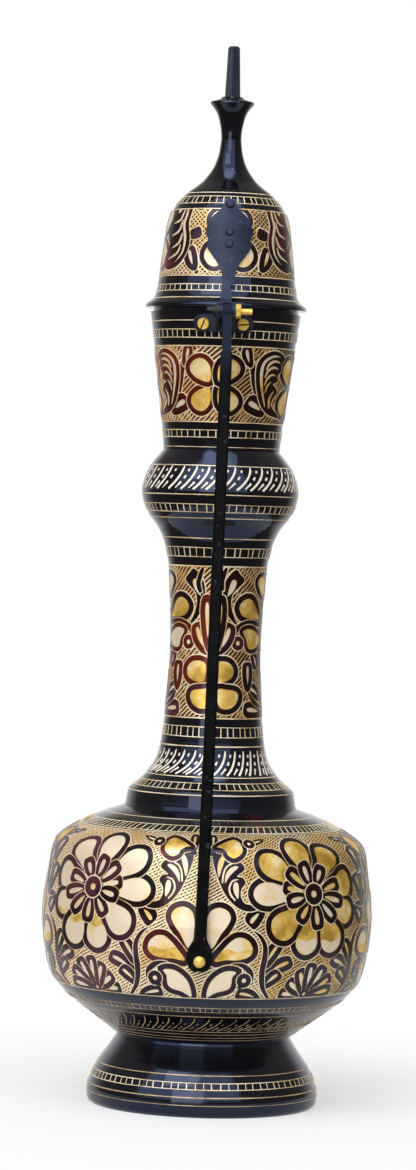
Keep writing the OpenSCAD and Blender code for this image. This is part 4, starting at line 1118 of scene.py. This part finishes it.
def stage_world():
    """White to the camera. To all other rays a dim room with a white backdrop and a broad cool window in front."""
    world = bpy.data.worlds.new("studio")
    SCENE.world = world
    room = Nodes(world, "World")
    x, y, z = room.split(room.add("TexCoord"))
    azimuth = room.maths("ARCTAN2", x, room.times(y, -1.0))
    left = room.step(azimuth, *np.radians(WINDOW_LEFT))
    right = room.step(azimuth, *np.radians(WINDOW_RIGHT), 1.0, 0.0)
    window = room.times(room.times(left, right), room.step(z, *WINDOW_SILL))
    backdrop = room.times(room.step(y, 0.45, 0.9), room.step(z, 0.25, 0.5, 1.0, 0.0))
    walls = room.mix(room.step(z, -0.2, 0.8), ROOM_LOW, ROOM_HIGH)
    sky = room.mix(room.step(z, 0.1, 0.9), SKY_LOW, SKY_HIGH)
    light = room.mix(window, room.mix(backdrop, walls, WHITE), sky)
    colour = room.mix(room.add("LightPath", out=None)["Is Camera Ray"], light, WHITE)
    room.feed(room.out, room.add("Background", {"Color": colour, "Strength": 1.0}))


def stage_lamp(name, place_at, aim, wide, high, radiance, tint):
    """A soft panel whose face reads at the given radiance."""
    data = bpy.data.lights.new(name, "AREA")
    data.shape, data.size, data.size_y = "RECTANGLE", wide, high
    data.energy = radiance * pi * wide * high
    data.color = tint
    lamp = link(name, data)
    lamp.location = place_at
    lamp.rotation_euler = (Vector(aim) - Vector(place_at)).to_track_quat("-Z", "Y").to_euler()


def stage_camera():
    """The photograph's view, a little from the left and rolled."""
    yaw = EYE_TURN - AIM_TURN
    ahead = Vector((sin(yaw) * cos(PITCH), cos(yaw) * cos(PITCH), -sin(PITCH)))
    right = Vector((cos(yaw), -sin(yaw), 0))
    top = right.cross(ahead)
    x_axis = right * cos(ROLL) + top * sin(ROLL)
    y_axis = top * cos(ROLL) - right * sin(ROLL)
    data = bpy.data.cameras.new("camera")
    data.sensor_fit, data.sensor_height, data.sensor_width = "VERTICAL", SENSOR, SENSOR
    data.lens = SENSOR / 2 / tan(VIEW_HIGH / 2)
    cam = link("camera", data)
    cam.matrix_world = Matrix((x_axis, y_axis, -ahead)).transposed().to_4x4()
    cam.location = (-EYE_AWAY * sin(EYE_TURN), -EYE_AWAY * cos(EYE_TURN), EYE_UP)
    bpy.context.scene.camera = cam


stage_floor()
stage_world()
stage_lamp(
    "front_panel", (-0.55, -1.06, 1.35), aim=(0, 0, 0.2), wide=0.95, high=0.6, radiance=3.1, tint=(1.0, 0.95, 0.86)
)
stage_lamp(
    "low_panel", (-0.55, -2.03, 0.70), aim=(0, 0, 0.22), wide=1.2, high=1.3, radiance=3.0, tint=(1.0, 0.94, 0.84)
)
stage_lamp(
    "high_panel", (-0.05, -0.42, 1.9), aim=(0, 0, 0.25), wide=1.1, high=0.5, radiance=2.2, tint=(0.86, 0.93, 1.0)
)
stage_camera()
bpy.context.scene.view_settings.view_transform = "Standard"
